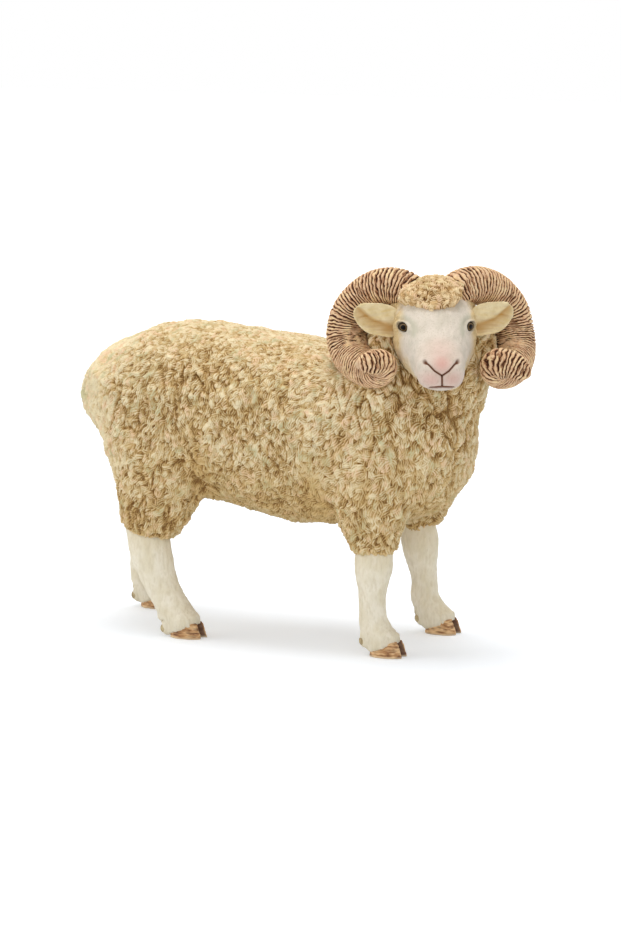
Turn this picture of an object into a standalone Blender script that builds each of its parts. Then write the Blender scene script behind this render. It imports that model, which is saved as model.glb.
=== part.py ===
"""Toy ram: a standing farm animal figure in rigid plastic, put together from pegged mouldings.

The ram faces +X with +Z up, and its head is turned to its right. Lengths are in metres.
Tables of shares give shapes as fractions of the named sizes next to them.
"""

import math

import bmesh
import bpy
from mathutils import Matrix, Vector

# Fits between the mouldings
SEAT_GAP = 0.0003

# Fleece body
BODY_LENGTH = 0.0862
BODY_WIDTH = 0.0366
BACK_HEIGHT = 0.0630
RUMP_BEHIND = 0.0485
CHEST_AHEAD = BODY_LENGTH - RUMP_BEHIND
BODY_SIDES = 40
BODY_POWER = 2.25
BODY_VOXEL = 0.0013
BODY_KEEP_SHARE = 0.155
# along the body, half width, underside and top of each section
BARREL_SHARES = (
    (0.000, 0.08, 0.715, 0.765),
    (0.020, 0.19, 0.675, 0.840),
    (0.060, 0.30, 0.630, 0.898),
    (0.120, 0.39, 0.555, 0.943),
    (0.205, 0.45, 0.475, 0.990),
    (0.310, 0.475, 0.440, 1.006),
    (0.427, 0.49, 0.419, 0.992),
    (0.544, 0.50, 0.396, 0.976),
    (0.661, 0.49, 0.388, 0.956),
    (0.766, 0.465, 0.392, 0.935),
    (0.860, 0.43, 0.411, 0.912),
    (0.930, 0.375, 0.452, 0.885),
    (0.977, 0.275, 0.545, 0.850),
    (1.000, 0.14, 0.645, 0.795),
)

# Head, in its own frame: forward, left and up from the middle of the skull at eye level
HEAD_BEHIND_CHEST = 0.0044
HEAD_ABOVE_BACK = 0.0032
HEAD_FORWARD = CHEST_AHEAD - HEAD_BEHIND_CHEST
HEAD_SIDE = -0.0080
HEAD_HEIGHT = BACK_HEIGHT + HEAD_ABOVE_BACK
HEAD_TURN = math.radians(-58.5)
HEAD_LENGTH = 0.0205
HEAD_WIDTH = 0.0160
HEAD_DEPTH = 0.0178
HEAD_SIDES = 28
HEAD_POWER = 2.3
HEAD_VOXEL = 0.00070
HEAD_KEEP_SHARE = 0.18
# forward, half width, top and bottom of each section of the head
SKULL_SHARES = (
    (-0.46, 0.18, 0.05, -0.22),
    (-0.41, 0.32, 0.22, -0.36),
    (-0.29, 0.44, 0.34, -0.47),
    (-0.10, 0.50, 0.40, -0.54),
    (0.10, 0.50, 0.375, -0.565),
    (0.25, 0.465, 0.310, -0.575),
    (0.40, 0.400, 0.190, -0.585),
    (0.55, 0.330, 0.050, -0.595),
    (0.68, 0.295, -0.065, -0.612),
    (0.80, 0.300, -0.135, -0.625),
    (0.90, 0.280, -0.215, -0.610),
    (0.965, 0.210, -0.300, -0.570),
    (1.000, 0.100, -0.375, -0.500),
)
BROW_SIZE = 0.0048
# each pair of bumps on the skull, the brows and the temples: size, forward, outward and up in brow sizes
BUMP_SHARES = ((1.0, 0.75, 1.17, 0.27), (1.15, -0.50, 1.26, 0.75))
EYE_SIZE = 0.0027
EYE_FORWARD = 0.0052
EYE_APART = 0.0122
EYE_UP = 0.0001

# Neck, from the shoulders to the back of the head
NECK_WIDTH = 0.0310
NECK_REACH = 0.0333
# how far each section centre lies behind the skull in neck reaches, its side and height as shares
# of the skull's, then its half width, its reach up and down, and its share of the head's turn
NECK_SHARES = (
    (0.37, -0.10, 0.710, 0.53, 0.51, 0.51, 0.0),
    (0.24, -0.10, 0.790, 0.51, 0.48, 0.49, 0.12),
    (0.13, 0.12, 0.865, 0.47, 0.43, 0.46, 0.40),
    (0.06, 0.40, 0.925, 0.42, 0.35, 0.43, 0.75),
    (0.033, 0.65, 0.955, 0.375, 0.27, 0.40, 1.0),
    (0.015, 0.86, 0.957, 0.32, 0.20, 0.35, 1.0),
    (0.010, 0.92, 0.957, 0.26, 0.15, 0.29, 1.0),
)
NECK_ROOT_RISE = math.radians(40.0)
NECK_END_RISE = math.radians(10.0)

# Wool on the crown, between the horns
CROWN_LENGTH = 0.0136
CROWN_WIDTH = 0.0150
CROWN_HEIGHT = 0.0086
CROWN_FORWARD = 0.0012
CROWN_UP = 0.0048
CROWN_TIP = math.radians(18.0)

# Horns: each curl is given in shares of these sizes
HORN_SPREAD = 0.0172
HORN_HEIGHT = 0.0100
HORN_SWEEP = 0.0085
HORN_THICK = 0.0072
HORN_SIDES = 10
HORN_RINGS = 34
HORN_GROOVE_SHARE = 0.10
HORN_STEPS = 12
# forward, outward, up and thickness of each point of the curl, root first
RIGHT_HORN_SHARES = (
    (-0.12, 0.14, 0.40, 0.86),
    (-0.30, 0.30, 0.66, 0.97),
    (-0.54, 0.51, 0.715, 1.00),
    (-0.82, 0.73, 0.54, 1.00),
    (-1.00, 0.91, 0.16, 0.99),
    (-1.00, 0.950, -0.28, 1.09),
    (-0.78, 0.905, -0.63, 1.08),
    (-0.35, 0.79, -0.83, 1.00),
    (0.10, 0.655, -0.90, 0.87),
    (0.42, 0.59, -0.77, 0.79),
    (0.61, 0.66, -0.66, 0.69),
    (0.70, 0.79, -0.66, 0.55),
    (0.70, 0.93, -0.71, 0.28),
)
LEFT_HORN_SHARES = (
    (-0.12, 0.14, 0.40, 0.86),
    (-0.30, 0.30, 0.66, 0.99),
    (-0.54, 0.52, 0.715, 1.02),
    (-0.82, 0.75, 0.55, 1.03),
    (-1.00, 0.94, 0.17, 1.03),
    (-1.00, 0.99, -0.29, 1.12),
    (-0.78, 0.99, -0.69, 1.09),
    (-0.35, 0.90, -0.90, 1.00),
    (0.10, 0.76, -0.95, 0.87),
    (0.40, 0.675, -0.84, 0.81),
    (0.59, 0.70, -0.72, 0.80),
    (0.70, 0.83, -0.74, 0.74),
    (0.74, 0.96, -0.86, 0.54),
    (0.68, 1.04, -0.96, 0.24),
)

# Ears
EAR_REACH = 0.0158
EAR_HEIGHT = 0.0070
EAR_WALL = 0.0011
EAR_CUP = 0.0013
EAR_BASE_FORWARD = 0.0006
EAR_ACROSS = 7
# outward, half height, rise and backward lean of each section
EAR_SHARES = (
    (0.40, 0.22, 0.04, 0.00),
    (0.50, 0.42, 0.09, 0.03),
    (0.60, 0.50, 0.10, 0.06),
    (0.72, 0.52, 0.11, 0.10),
    (0.84, 0.47, 0.16, 0.15),
    (0.94, 0.31, 0.25, 0.20),
    (1.00, 0.10, 0.33, 0.22),
)

# Tail, whose root drops from the back and is set in from the end of the rump
TAIL_LENGTH = 0.0150
TAIL_WIDTH = 0.0092
TAIL_THICK = 0.0056
TAIL_DROP = 0.0055
TAIL_INSET = 0.0035
TAIL_SIDES = 14
# down the tail, backward, width and thickness of each section
TAIL_SHARES = (
    (0.02, -0.95, 0.55, 0.50),
    (0.10, -0.62, 0.80, 0.85),
    (0.25, -0.25, 0.95, 1.00),
    (0.46, 0.08, 1.00, 1.00),
    (0.68, 0.24, 0.98, 0.95),
    (0.86, 0.24, 0.80, 0.80),
    (0.96, 0.18, 0.50, 0.50),
)

# Legs: how far each foot stands behind the chest or ahead of the rump, and to the left
FRONT_RIGHT_STAND = (0.0124, -0.0121)
FRONT_LEFT_STAND = (0.0117, 0.0133)
REAR_RIGHT_STAND = (0.0295, -0.0131)
REAR_LEFT_STAND = (0.0091, 0.0116)
LEG_HEIGHT = 0.0228
LEG_LENGTH = 0.0076
LEG_WIDTH = 0.0066
LEG_SIDES = 14
PEG_WIDTH = 0.0034
PEG_LENGTH = 0.0050
FOOT_TILT = math.radians(21.0)
# height, forward of the foot in leg lengths, half length and half width of each section
FRONT_RIGHT_LEG_SHARES = (
    (1.000, -0.38, 0.46, 0.45),
    (0.860, -0.37, 0.50, 0.50),
    (0.730, -0.37, 0.48, 0.485),
    (0.600, -0.38, 0.385, 0.41),
    (0.460, -0.39, 0.345, 0.365),
    (0.330, -0.38, 0.370, 0.385),
    (0.235, -0.29, 0.450, 0.440),
)
FRONT_LEFT_LEG_SHARES = (
    (1.000, -0.72, 0.46, 0.45),
    (0.860, -0.66, 0.50, 0.50),
    (0.730, -0.62, 0.48, 0.485),
    (0.600, -0.55, 0.385, 0.41),
    (0.460, -0.48, 0.345, 0.365),
    (0.330, -0.49, 0.390, 0.385),
    (0.235, -0.35, 0.470, 0.440),
)
REAR_RIGHT_LEG_SHARES = (
    (1.000, -1.19, 0.52, 0.45),
    (0.840, -1.16, 0.60, 0.50),
    (0.710, -1.09, 0.60, 0.485),
    (0.570, -0.96, 0.56, 0.42),
    (0.440, -0.78, 0.53, 0.39),
    (0.320, -0.55, 0.54, 0.40),
    (0.235, -0.37, 0.56, 0.44),
)
REAR_LEFT_LEG_SHARES = (
    (1.000, -0.32, 0.50, 0.45),
    (0.840, -0.38, 0.56, 0.50),
    (0.710, -0.41, 0.53, 0.47),
    (0.570, -0.41, 0.45, 0.41),
    (0.440, -0.40, 0.42, 0.385),
    (0.320, -0.38, 0.43, 0.40),
    (0.235, -0.31, 0.47, 0.44),
)
# the slanted foot of every leg: forward, half length and half width
CORONET_SHARES = (-0.03, 0.47, 0.48)
CORONET_HEIGHT = 0.0030

# Woolly shoulders and thighs, whose lower ends slope up to the rear: height in back heights,
# forward and side of the foot in body lengths and widths, then half length and half width in those
FRONT_RIGHT_WOOL_SHARES = (
    (0.740, -0.065, -0.120, 0.125, 0.215),
    (0.620, -0.050, -0.060, 0.122, 0.205),
    (0.510, -0.046, -0.015, 0.103, 0.180),
    (0.430, -0.041, 0.000, 0.084, 0.155),
    (0.375, -0.037, 0.000, 0.070, 0.140),
    (0.330, -0.034, 0.000, 0.052, 0.118),
    (0.318, -0.034, 0.000, 0.036, 0.085),
)
FRONT_LEFT_WOOL_SHARES = (
    (0.740, -0.065, -0.120, 0.125, 0.215),
    (0.620, -0.050, -0.060, 0.122, 0.205),
    (0.520, -0.050, -0.015, 0.103, 0.180),
    (0.450, -0.056, 0.000, 0.082, 0.155),
    (0.400, -0.060, 0.000, 0.067, 0.140),
    (0.358, -0.061, 0.000, 0.052, 0.118),
    (0.345, -0.061, 0.000, 0.036, 0.085),
)
REAR_RIGHT_WOOL_SHARES = (
    (0.800, -0.130, -0.165, 0.170, 0.245),
    (0.670, -0.112, -0.110, 0.152, 0.230),
    (0.570, -0.094, -0.060, 0.139, 0.203),
    (0.480, -0.086, -0.030, 0.108, 0.184),
    (0.415, -0.092, -0.014, 0.095, 0.162),
    (0.363, -0.099, 0.000, 0.079, 0.141),
    (0.330, -0.104, 0.000, 0.060, 0.118),
    (0.318, -0.104, 0.000, 0.042, 0.085),
)
REAR_LEFT_WOOL_SHARES = (
    (0.800, 0.098, -0.125, 0.170, 0.245),
    (0.670, 0.084, -0.070, 0.150, 0.230),
    (0.570, 0.056, -0.030, 0.132, 0.203),
    (0.480, 0.024, -0.010, 0.097, 0.180),
    (0.415, -0.002, 0.000, 0.074, 0.158),
    (0.363, -0.018, 0.000, 0.063, 0.141),
    (0.330, -0.025, 0.000, 0.052, 0.118),
    (0.318, -0.027, 0.000, 0.040, 0.085),
)
WOOL_TILT = {"front": 0.0, "rear": math.radians(14)}

# Hooves and dewclaws
CLAW_LENGTH = 0.0066
CLAW_WIDTH = 0.0026
CLAW_CLEFT = 0.0005
CLAW_HEEL = 0.0009
CLAW_STEPS = 14
# how flat the side at the cleft is, how far the toe is drawn in, and the height and size of each level
CLAW_INNER_SHARE = 0.60
CLAW_TOE_SHARE = 0.35
CLAW_LEVEL_SHARES = ((0, 1), (0.5, 0.97), (1, 0.90))
DEWCLAW_WIDTH = 0.0015
DEWCLAW_HEIGHT = 0.0019
DEWCLAW_APART = 0.0030
DEWCLAW_BEHIND = 0.0047
FRONT_DEWCLAW_UP = 0.0030
REAR_RIGHT_DEWCLAW_UP = 0.0017
REAR_LEFT_DEWCLAW_UP = 0.0025

SMOOTH_TURNS = 6
ROWS_PER_SPAN = 3

# Paint: colour, roughness
FLEECE_PAINT = ((0.66, 0.53, 0.34), 0.85)
SKIN_PAINT = ((0.80, 0.74, 0.62), 0.65)
EAR_PAINT = ((0.78, 0.68, 0.45), 0.70)
HORN_PAINT = ((0.42, 0.27, 0.18), 0.60)
HOOF_PAINT = ((0.50, 0.29, 0.15), 0.50)
EYE_PAINT = ((0.05, 0.03, 0.02), 0.15)


def clear_scene():
    for old in list(bpy.data.objects):
        bpy.data.objects.remove(old)


def paint(name, colour, roughness):
    material = bpy.data.materials.new(name)
    material.use_nodes = True
    shader = material.node_tree.nodes["Principled BSDF"]
    shader.inputs["Base Color"].default_value = (*colour, 1)
    shader.inputs["Roughness"].default_value = roughness
    shader.inputs["Metallic"].default_value = 0
    return material


def blended_rows(rows, steps=ROWS_PER_SPAN):
    """Rows of numbers with a smooth curve run through them, steps rows to a span."""
    made = []
    for i in range(len(rows) - 1):
        before, start = rows[max(i - 1, 0)], rows[i]
        end, after = rows[i + 1], rows[min(i + 2, len(rows) - 1)]
        for step in range(steps):
            t = step / steps
            made.append(tuple(
                0.5 * (2 * b + (c - a) * t + (2 * a - 5 * b + 4 * c - d) * t ** 2
                       + (3 * b - a - 3 * c + d) * t ** 3)
                for a, b, c, d in zip(before, start, end, after)))
    made.append(tuple(rows[-1]))
    return made


def section(centre, across, up, half_width, half_up, half_down, sides, power):
    """One ring of points: an oval whose corners are squarer as the power rises."""
    ring = []
    for i in range(sides):
        angle = math.tau * i / sides
        side, rise = math.cos(angle), math.sin(angle)
        reach = half_up if rise >= 0 else half_down
        ring.append(
            centre
            + across * (half_width * math.copysign(abs(side) ** (2 / power), side))
            + up * (reach * math.copysign(abs(rise) ** (2 / power), rise)))
    return ring


def add_skin(mesh, rings):
    """Joins rings of points into one closed tube with flat ends."""
    loops = [[mesh.verts.new(point) for point in ring] for ring in rings]
    faces = [mesh.faces.new(loops[0]), mesh.faces.new(loops[-1])]
    for first, second in zip(loops, loops[1:]):
        for i in range(len(first)):
            following = (i + 1) % len(first)
            faces.append(mesh.faces.new(
                (first[i], first[following], second[following], second[i])))
    bmesh.ops.recalc_face_normals(mesh, faces=faces)


def add_ball(mesh, centre, radii, turn=Matrix.Identity(3), rows=10):
    """An egg: a sphere stretched to three radii, turned and moved to its centre."""
    place = Matrix.Translation(centre) @ turn.to_4x4() @ Matrix.Diagonal((*radii, 1))
    bmesh.ops.create_uvsphere(mesh, u_segments=2 * rows, v_segments=rows, radius=1, matrix=place)


def new_object(name, mesh, material=None, parent=None):
    data = bpy.data.meshes.new(name)
    mesh.to_mesh(data)
    mesh.free()
    data.shade_smooth()
    made = bpy.data.objects.new(name, data)
    bpy.context.scene.collection.objects.link(made)
    made.parent = parent
    if material:
        data.materials.append(material)
    else:
        made.hide_render = True
        made.display_type = "WIRE"
    return made


def melt(target, voxel, keep_share):
    """Melts overlapping shapes into one smooth skin, then thins out its faces."""
    remesh = target.modifiers.new("one_skin", "REMESH")
    remesh.mode = "VOXEL"
    remesh.voxel_size = voxel
    soften = target.modifiers.new("soften", "SMOOTH")
    soften.iterations = SMOOTH_TURNS
    thin = target.modifiers.new("thin_out", "DECIMATE")
    thin.ratio = keep_share


def cut(target, *cutters):
    for cutter in cutters:
        take = target.modifiers.new("seat_for_" + cutter.name, "BOOLEAN")
        take.operation = "DIFFERENCE"
        take.object = cutter


# The fleece body


def barrel_rings():
    rings = []
    for along, half, under, top in blended_rows(BARREL_SHARES):
        middle = (under + top) / 2 * BACK_HEIGHT
        half_height = (top - under) / 2 * BACK_HEIGHT
        rings.append(section(
            Vector((along * BODY_LENGTH - RUMP_BEHIND, 0, middle)),
            Vector((0, 1, 0)), Vector((0, 0, 1)),
            half * BODY_WIDTH, half_height, half_height, BODY_SIDES, BODY_POWER))
    return rings


def neck_rings():
    rings = []
    for behind, side, up, half, above, below, turned in blended_rows(NECK_SHARES):
        heading = Vector((1, 0, 0))
        heading.rotate(Matrix.Rotation(HEAD_TURN * turned, 3, "Z"))
        across = Vector((-heading.y, heading.x, 0))
        rise = NECK_ROOT_RISE + (NECK_END_RISE - NECK_ROOT_RISE) * turned
        facing = heading * math.cos(rise) + Vector((0, 0, 1)) * math.sin(rise)
        centre = Vector((
            HEAD_FORWARD - behind * NECK_REACH, side * HEAD_SIDE, up * HEAD_HEIGHT))
        rings.append(section(
            centre, across, facing.cross(across),
            half * NECK_WIDTH, above * NECK_WIDTH, below * NECK_WIDTH, BODY_SIDES, 2))
    return rings


def wool_rings(foot, shares, tilt):
    side_sign = math.copysign(1, foot[1])
    lengthwise = Vector((math.cos(tilt), 0, -math.sin(tilt)))
    rings = []
    for height, forward, side, half_length, half_width in blended_rows(shares):
        centre = Vector((
            foot[0] + forward * BODY_LENGTH,
            foot[1] + side_sign * side * BODY_WIDTH,
            height * BACK_HEIGHT))
        half = half_width * BODY_WIDTH
        rings.append(section(
            centre, lengthwise, Vector((0, 1, 0)),
            half_length * BODY_LENGTH, half, half, BODY_SIDES, 2))
    return rings


def make_torso(material):
    mesh = bmesh.new()
    add_skin(mesh, barrel_rings())
    add_skin(mesh, neck_rings())
    for place, (foot, _, wool, _) in LEGS.items():
        add_skin(mesh, wool_rings(foot, wool, WOOL_TILT[place.split("_")[0]]))
    torso = new_object("torso", mesh, material)
    melt(torso, BODY_VOXEL, BODY_KEEP_SHARE)
    return torso


def make_tail(name, material, grow=0.0):
    mesh = bmesh.new()
    rings = []
    for down, behind, width, thick in blended_rows(TAIL_SHARES):
        centre = Vector((
            TAIL_INSET - RUMP_BEHIND - behind * TAIL_THICK, 0,
            BACK_HEIGHT - TAIL_DROP - down * TAIL_LENGTH))
        half = thick * TAIL_THICK / 2 + grow
        rings.append(section(
            centre, Vector((0, 1, 0)), Vector((1, 0, 0)),
            width * TAIL_WIDTH / 2 + grow, half, half, TAIL_SIDES, 2))
    if grow:
        for ring, way in ((rings[0], 1), (rings[-1], -1)):
            for point in ring:
                point.z += way * grow
    add_skin(mesh, rings)
    return new_object(name, mesh, material)


# The head and what it carries


def head_frame():
    """The empty that everything on the head hangs from, at the middle of the skull."""
    frame = bpy.data.objects.new("head_frame", None)
    bpy.context.scene.collection.objects.link(frame)
    frame.location = (HEAD_FORWARD, HEAD_SIDE, HEAD_HEIGHT)
    frame.rotation_euler = (0, 0, HEAD_TURN)
    return frame


def make_head(name, frame, material, grow=0.0):
    mesh = bmesh.new()
    rings = []
    for forward, half, top, bottom in blended_rows(SKULL_SHARES):
        middle = (top + bottom) / 2 * HEAD_DEPTH
        half_height = (top - bottom) / 2 * HEAD_DEPTH + grow
        rings.append(section(
            Vector((forward * HEAD_LENGTH, 0, middle)),
            Vector((0, 1, 0)), Vector((0, 0, 1)),
            half * HEAD_WIDTH + grow, half_height, half_height, HEAD_SIDES, HEAD_POWER))
    if grow:
        for ring, way in ((rings[0], -1), (rings[-1], 1)):
            for point in ring:
                point.x += way * grow
    add_skin(mesh, rings)
    for side in (-1, 1):
        for size, forward, out, up in BUMP_SHARES:
            add_ball(
                mesh, Vector((forward, side * out, up)) * BROW_SIZE,
                [size * BROW_SIZE / 2 + grow] * 3)
    head = new_object(name, mesh, material, frame)
    melt(head, HEAD_VOXEL, HEAD_KEEP_SHARE)
    return head


def make_eye(name, side, frame, material, grow=0.0):
    mesh = bmesh.new()
    centre = Vector((EYE_FORWARD, side * EYE_APART / 2, EYE_UP))
    add_ball(mesh, centre, [EYE_SIZE / 2 + grow] * 3, rows=6)
    return new_object(name, mesh, material, frame)


def make_crown(frame, material):
    mesh = bmesh.new()
    add_ball(
        mesh, Vector((CROWN_FORWARD, 0, CROWN_UP)),
        (CROWN_LENGTH / 2, CROWN_WIDTH / 2, CROWN_HEIGHT / 2),
        Matrix.Rotation(CROWN_TIP, 3, "Y"), rows=11)
    return new_object("crown_wool", mesh, material, frame)


def horn_rings(side, shares, ridged, grow=0.0):
    """Rings round the curl. Each growth ring is a ridge and a groove."""
    points = []
    for forward, out, up, thick in blended_rows(shares, HORN_STEPS):
        points.append((
            Vector((forward * HORN_SWEEP, side * out * HORN_SPREAD, up * HORN_HEIGHT)),
            thick * HORN_THICK / 2))
    lengths = [0.0]
    for (a, _), (b, _) in zip(points, points[1:]):
        lengths.append(lengths[-1] + (b - a).length)
    rings = []
    across = Vector((1, 0, 0))
    count = 2 * HORN_RINGS + 1 if ridged else HORN_RINGS // 2
    for i in range(count):
        goal = lengths[-1] * i / (count - 1)
        at = next(k for k in range(1, len(lengths)) if lengths[k] >= goal or k == len(lengths) - 1)
        t = (goal - lengths[at - 1]) / (lengths[at] - lengths[at - 1])
        centre = points[at - 1][0].lerp(points[at][0], t)
        radius = points[at - 1][1] * (1 - t) + points[at][1] * t
        along = (points[at][0] - points[at - 1][0]).normalized()
        across = (across - along * across.dot(along)).normalized()
        if ridged and i % 2 and i < count - 2:
            radius *= 1 - HORN_GROOVE_SHARE
        reach = radius + grow
        rings.append(section(
            centre, across, along.cross(across), reach, reach, reach, HORN_SIDES, 2))
    if grow:
        for point in rings[0]:
            point.z -= grow
    return rings


def make_horn(name, side, frame, material, grow=0.0):
    mesh = bmesh.new()
    shares = LEFT_HORN_SHARES if side > 0 else RIGHT_HORN_SHARES
    add_skin(mesh, horn_rings(side, shares, material is not None, grow))
    return new_object(name, mesh, material, frame)


def make_ear(name, side, frame, material, grow=0.0):
    """A leaf with a cupped front: each section is a thin bowed strip."""
    mesh = bmesh.new()
    rings = []
    for out, half, rise, lean in blended_rows(EAR_SHARES):
        front, back = [], []
        for i in range(EAR_ACROSS):
            t = 2 * i / (EAR_ACROSS - 1) - 1
            up = rise * EAR_HEIGHT + t * (half * EAR_HEIGHT + grow)
            bow = -EAR_CUP * (1 - t ** 2) * min(1, half / max(row[1] for row in EAR_SHARES))
            wall = EAR_WALL / 2 * math.sqrt(1 - (t * (1 - EAR_WALL / EAR_REACH)) ** 2) + grow
            middle = EAR_BASE_FORWARD - lean * EAR_HEIGHT + bow
            place = side * out * EAR_REACH
            front.append(Vector((middle + wall, place, up)))
            back.append(Vector((middle - wall, place, up)))
        rings.append(front + back[::-1])
    if grow:
        for point in rings[0]:
            point.y -= side * grow
    add_skin(mesh, rings)
    return new_object(name, mesh, material, frame)


# The legs and feet


def leg_rows(shares, foot):
    rows = []
    for height, forward, half_length, half_width in blended_rows(shares):
        rows.append((
            Vector((foot[0] + forward * LEG_LENGTH, foot[1], height * LEG_HEIGHT)),
            half_length * LEG_LENGTH, half_width * LEG_WIDTH))
    return rows


def make_leg(name, foot, shares, material, grow=0.0):
    """The bare leg with its peg on top and a slanted foot that the two claws meet."""
    mesh = bmesh.new()
    forward, up, side = Vector((1, 0, 0)), Vector((0, 0, 1)), Vector((0, 1, 0))
    rows = leg_rows(shares, foot)
    top = rows[0][0]
    peg = PEG_WIDTH / 2 + grow
    rings = [
        section(top + up * (PEG_LENGTH + grow), forward, side, peg, peg, peg, LEG_SIDES, 2),
        section(top + up * grow, forward, side, peg, peg, peg, LEG_SIDES, 2),
        section(top + up * grow, forward, side,
                rows[0][1] + grow, rows[0][2] + grow, rows[0][2] + grow, LEG_SIDES, 2),
    ]
    for centre, half_length, half_width in rows[1:]:
        half = half_width + grow
        rings.append(section(centre, forward, side, half_length + grow, half, half, LEG_SIDES, 2))
    ahead, half_length, half_width = CORONET_SHARES
    centre = Vector((foot[0] + ahead * LEG_LENGTH, foot[1], CORONET_HEIGHT))
    slant = forward * math.cos(FOOT_TILT) + up * math.sin(FOOT_TILT)
    half = half_width * LEG_WIDTH + grow
    rings.append(section(
        centre, slant, side, half_length * LEG_LENGTH + grow, half, half, LEG_SIDES, 2))
    add_skin(mesh, rings)
    return new_object(name, mesh, material)


def claw_outline():
    """The sole of one claw, from the foot's middle: flatter at the cleft, drawn in at the toe."""
    outline = []
    for i in range(CLAW_STEPS):
        angle = math.tau * i / CLAW_STEPS
        ahead, out = math.cos(angle), math.sin(angle)
        out *= 1 - CLAW_TOE_SHARE * max(0, ahead) ** 2
        if out < 0:
            out *= CLAW_INNER_SHARE
        out = (out + CLAW_INNER_SHARE) / (1 + CLAW_INNER_SHARE) * CLAW_WIDTH
        outline.append((ahead * CLAW_LENGTH / 2, out))
    return outline


def make_claw(name, foot, side, material):
    """One claw of a cloven hoof: a flat sole and a top that slants up to the toe."""
    rings = []
    for level, size in CLAW_LEVEL_SHARES:
        ring = []
        for ahead, out in claw_outline():
            x, y = ahead * size, out * size + CLAW_CLEFT / 2
            slant = CORONET_HEIGHT + math.tan(FOOT_TILT) * (x - CORONET_SHARES[0] * LEG_LENGTH)
            top = max(slant - SEAT_GAP / math.cos(FOOT_TILT), CLAW_HEEL)
            ring.append(Vector((foot[0] + x, foot[1] + side * y, level * top)))
        rings.append(ring)
    mesh = bmesh.new()
    add_skin(mesh, rings)
    return new_object(name, mesh, material)


def make_dewclaw(name, foot, side, height, material, grow=0.0):
    mesh = bmesh.new()
    centre = Vector((foot[0] - DEWCLAW_BEHIND, foot[1] + side * DEWCLAW_APART / 2, height))
    half = DEWCLAW_WIDTH / 2 + grow
    add_ball(mesh, centre, (half, half, DEWCLAW_HEIGHT / 2 + grow), rows=5)
    return new_object(name, mesh, material)


def front_foot(stand):
    return CHEST_AHEAD - stand[0], stand[1]


def rear_foot(stand):
    return stand[0] - RUMP_BEHIND, stand[1]


# the foot, the leg, the wool above it and the height of the dewclaws
LEGS = {
    "front_right": (
        front_foot(FRONT_RIGHT_STAND), FRONT_RIGHT_LEG_SHARES, FRONT_RIGHT_WOOL_SHARES,
        FRONT_DEWCLAW_UP),
    "front_left": (
        front_foot(FRONT_LEFT_STAND), FRONT_LEFT_LEG_SHARES, FRONT_LEFT_WOOL_SHARES,
        FRONT_DEWCLAW_UP),
    "rear_right": (
        rear_foot(REAR_RIGHT_STAND), REAR_RIGHT_LEG_SHARES, REAR_RIGHT_WOOL_SHARES,
        REAR_RIGHT_DEWCLAW_UP),
    "rear_left": (
        rear_foot(REAR_LEFT_STAND), REAR_LEFT_LEG_SHARES, REAR_LEFT_WOOL_SHARES,
        REAR_LEFT_DEWCLAW_UP),
}
SIDES = {"left": 1, "right": -1}


def make_legs(torso, skin, hoof):
    for place, (foot, shares, _, dewclaw_height) in LEGS.items():
        leg = make_leg(place + "_leg", foot, shares, skin)
        cut(torso, make_leg(place + "_leg_seat", foot, shares, None, SEAT_GAP))
        outward = math.copysign(1, foot[1])
        for label, side in (("outer", outward), ("inner", -outward)):
            make_claw(f"{place}_hoof_{label}", foot, side, hoof)
            make_dewclaw(f"{place}_dewclaw_{label}", foot, side, dewclaw_height, hoof)
            cut(leg, make_dewclaw(
                f"{place}_dewclaw_{label}_seat", foot, side, dewclaw_height, None, SEAT_GAP))


def make_head_group(torso, fleece, skin, ear_paint, horn_paint, eye_paint):
    frame = head_frame()
    head = make_head("head", frame, skin)
    head_seat = make_head("head_seat", frame, None, SEAT_GAP)
    crown = make_crown(frame, fleece)
    cut(torso, head_seat)
    cut(crown, head_seat)
    for word, side in SIDES.items():
        make_eye("eye_" + word, side, frame, eye_paint)
        make_horn("horn_" + word, side, frame, horn_paint)
        make_ear("ear_" + word, side, frame, ear_paint)
        horn_seat = make_horn(f"horn_{word}_seat", side, frame, None, SEAT_GAP)
        ear_seat = make_ear(f"ear_{word}_seat", side, frame, None, SEAT_GAP)
        cut(head, make_eye(f"eye_{word}_seat", side, frame, None, SEAT_GAP), horn_seat, ear_seat)
        cut(crown, horn_seat)
        cut(torso, horn_seat)


def stand_on_floor():
    """Hangs the figure on one empty, so that the middle of its footprint comes to the origin."""
    pieces = list(bpy.context.scene.collection.objects)
    stand = bpy.data.objects.new("stand", None)
    bpy.context.scene.collection.objects.link(stand)
    for piece in pieces:
        if piece.parent is None:
            piece.parent = stand
    graph = bpy.context.evaluated_depsgraph_get()
    points = []
    for piece in pieces:
        if piece.type == "MESH" and not piece.hide_render:
            shaped = piece.evaluated_get(graph)
            points += [shaped.matrix_world @ vertex.co for vertex in shaped.data.vertices]
    for axis in (0, 1):
        along = [point[axis] for point in points]
        stand.location[axis] = -(min(along) + max(along)) / 2


def make_ram():
    clear_scene()
    fleece = paint("fleece", *FLEECE_PAINT)
    skin = paint("skin", *SKIN_PAINT)
    hoof = paint("hoof", *HOOF_PAINT)
    torso = make_torso(fleece)
    make_legs(torso, skin, hoof)
    make_head_group(
        torso, fleece, skin, paint("ear", *EAR_PAINT), paint("horn", *HORN_PAINT),
        paint("eye", *EYE_PAINT))
    make_tail("tail", fleece)
    cut(torso, make_tail("tail_seat", None, SEAT_GAP))
    stand_on_floor()


make_ram()
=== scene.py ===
import math

import bmesh
import bpy
import numpy as np
from mathutils import Matrix, Vector
from mathutils.kdtree import KDTree


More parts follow.
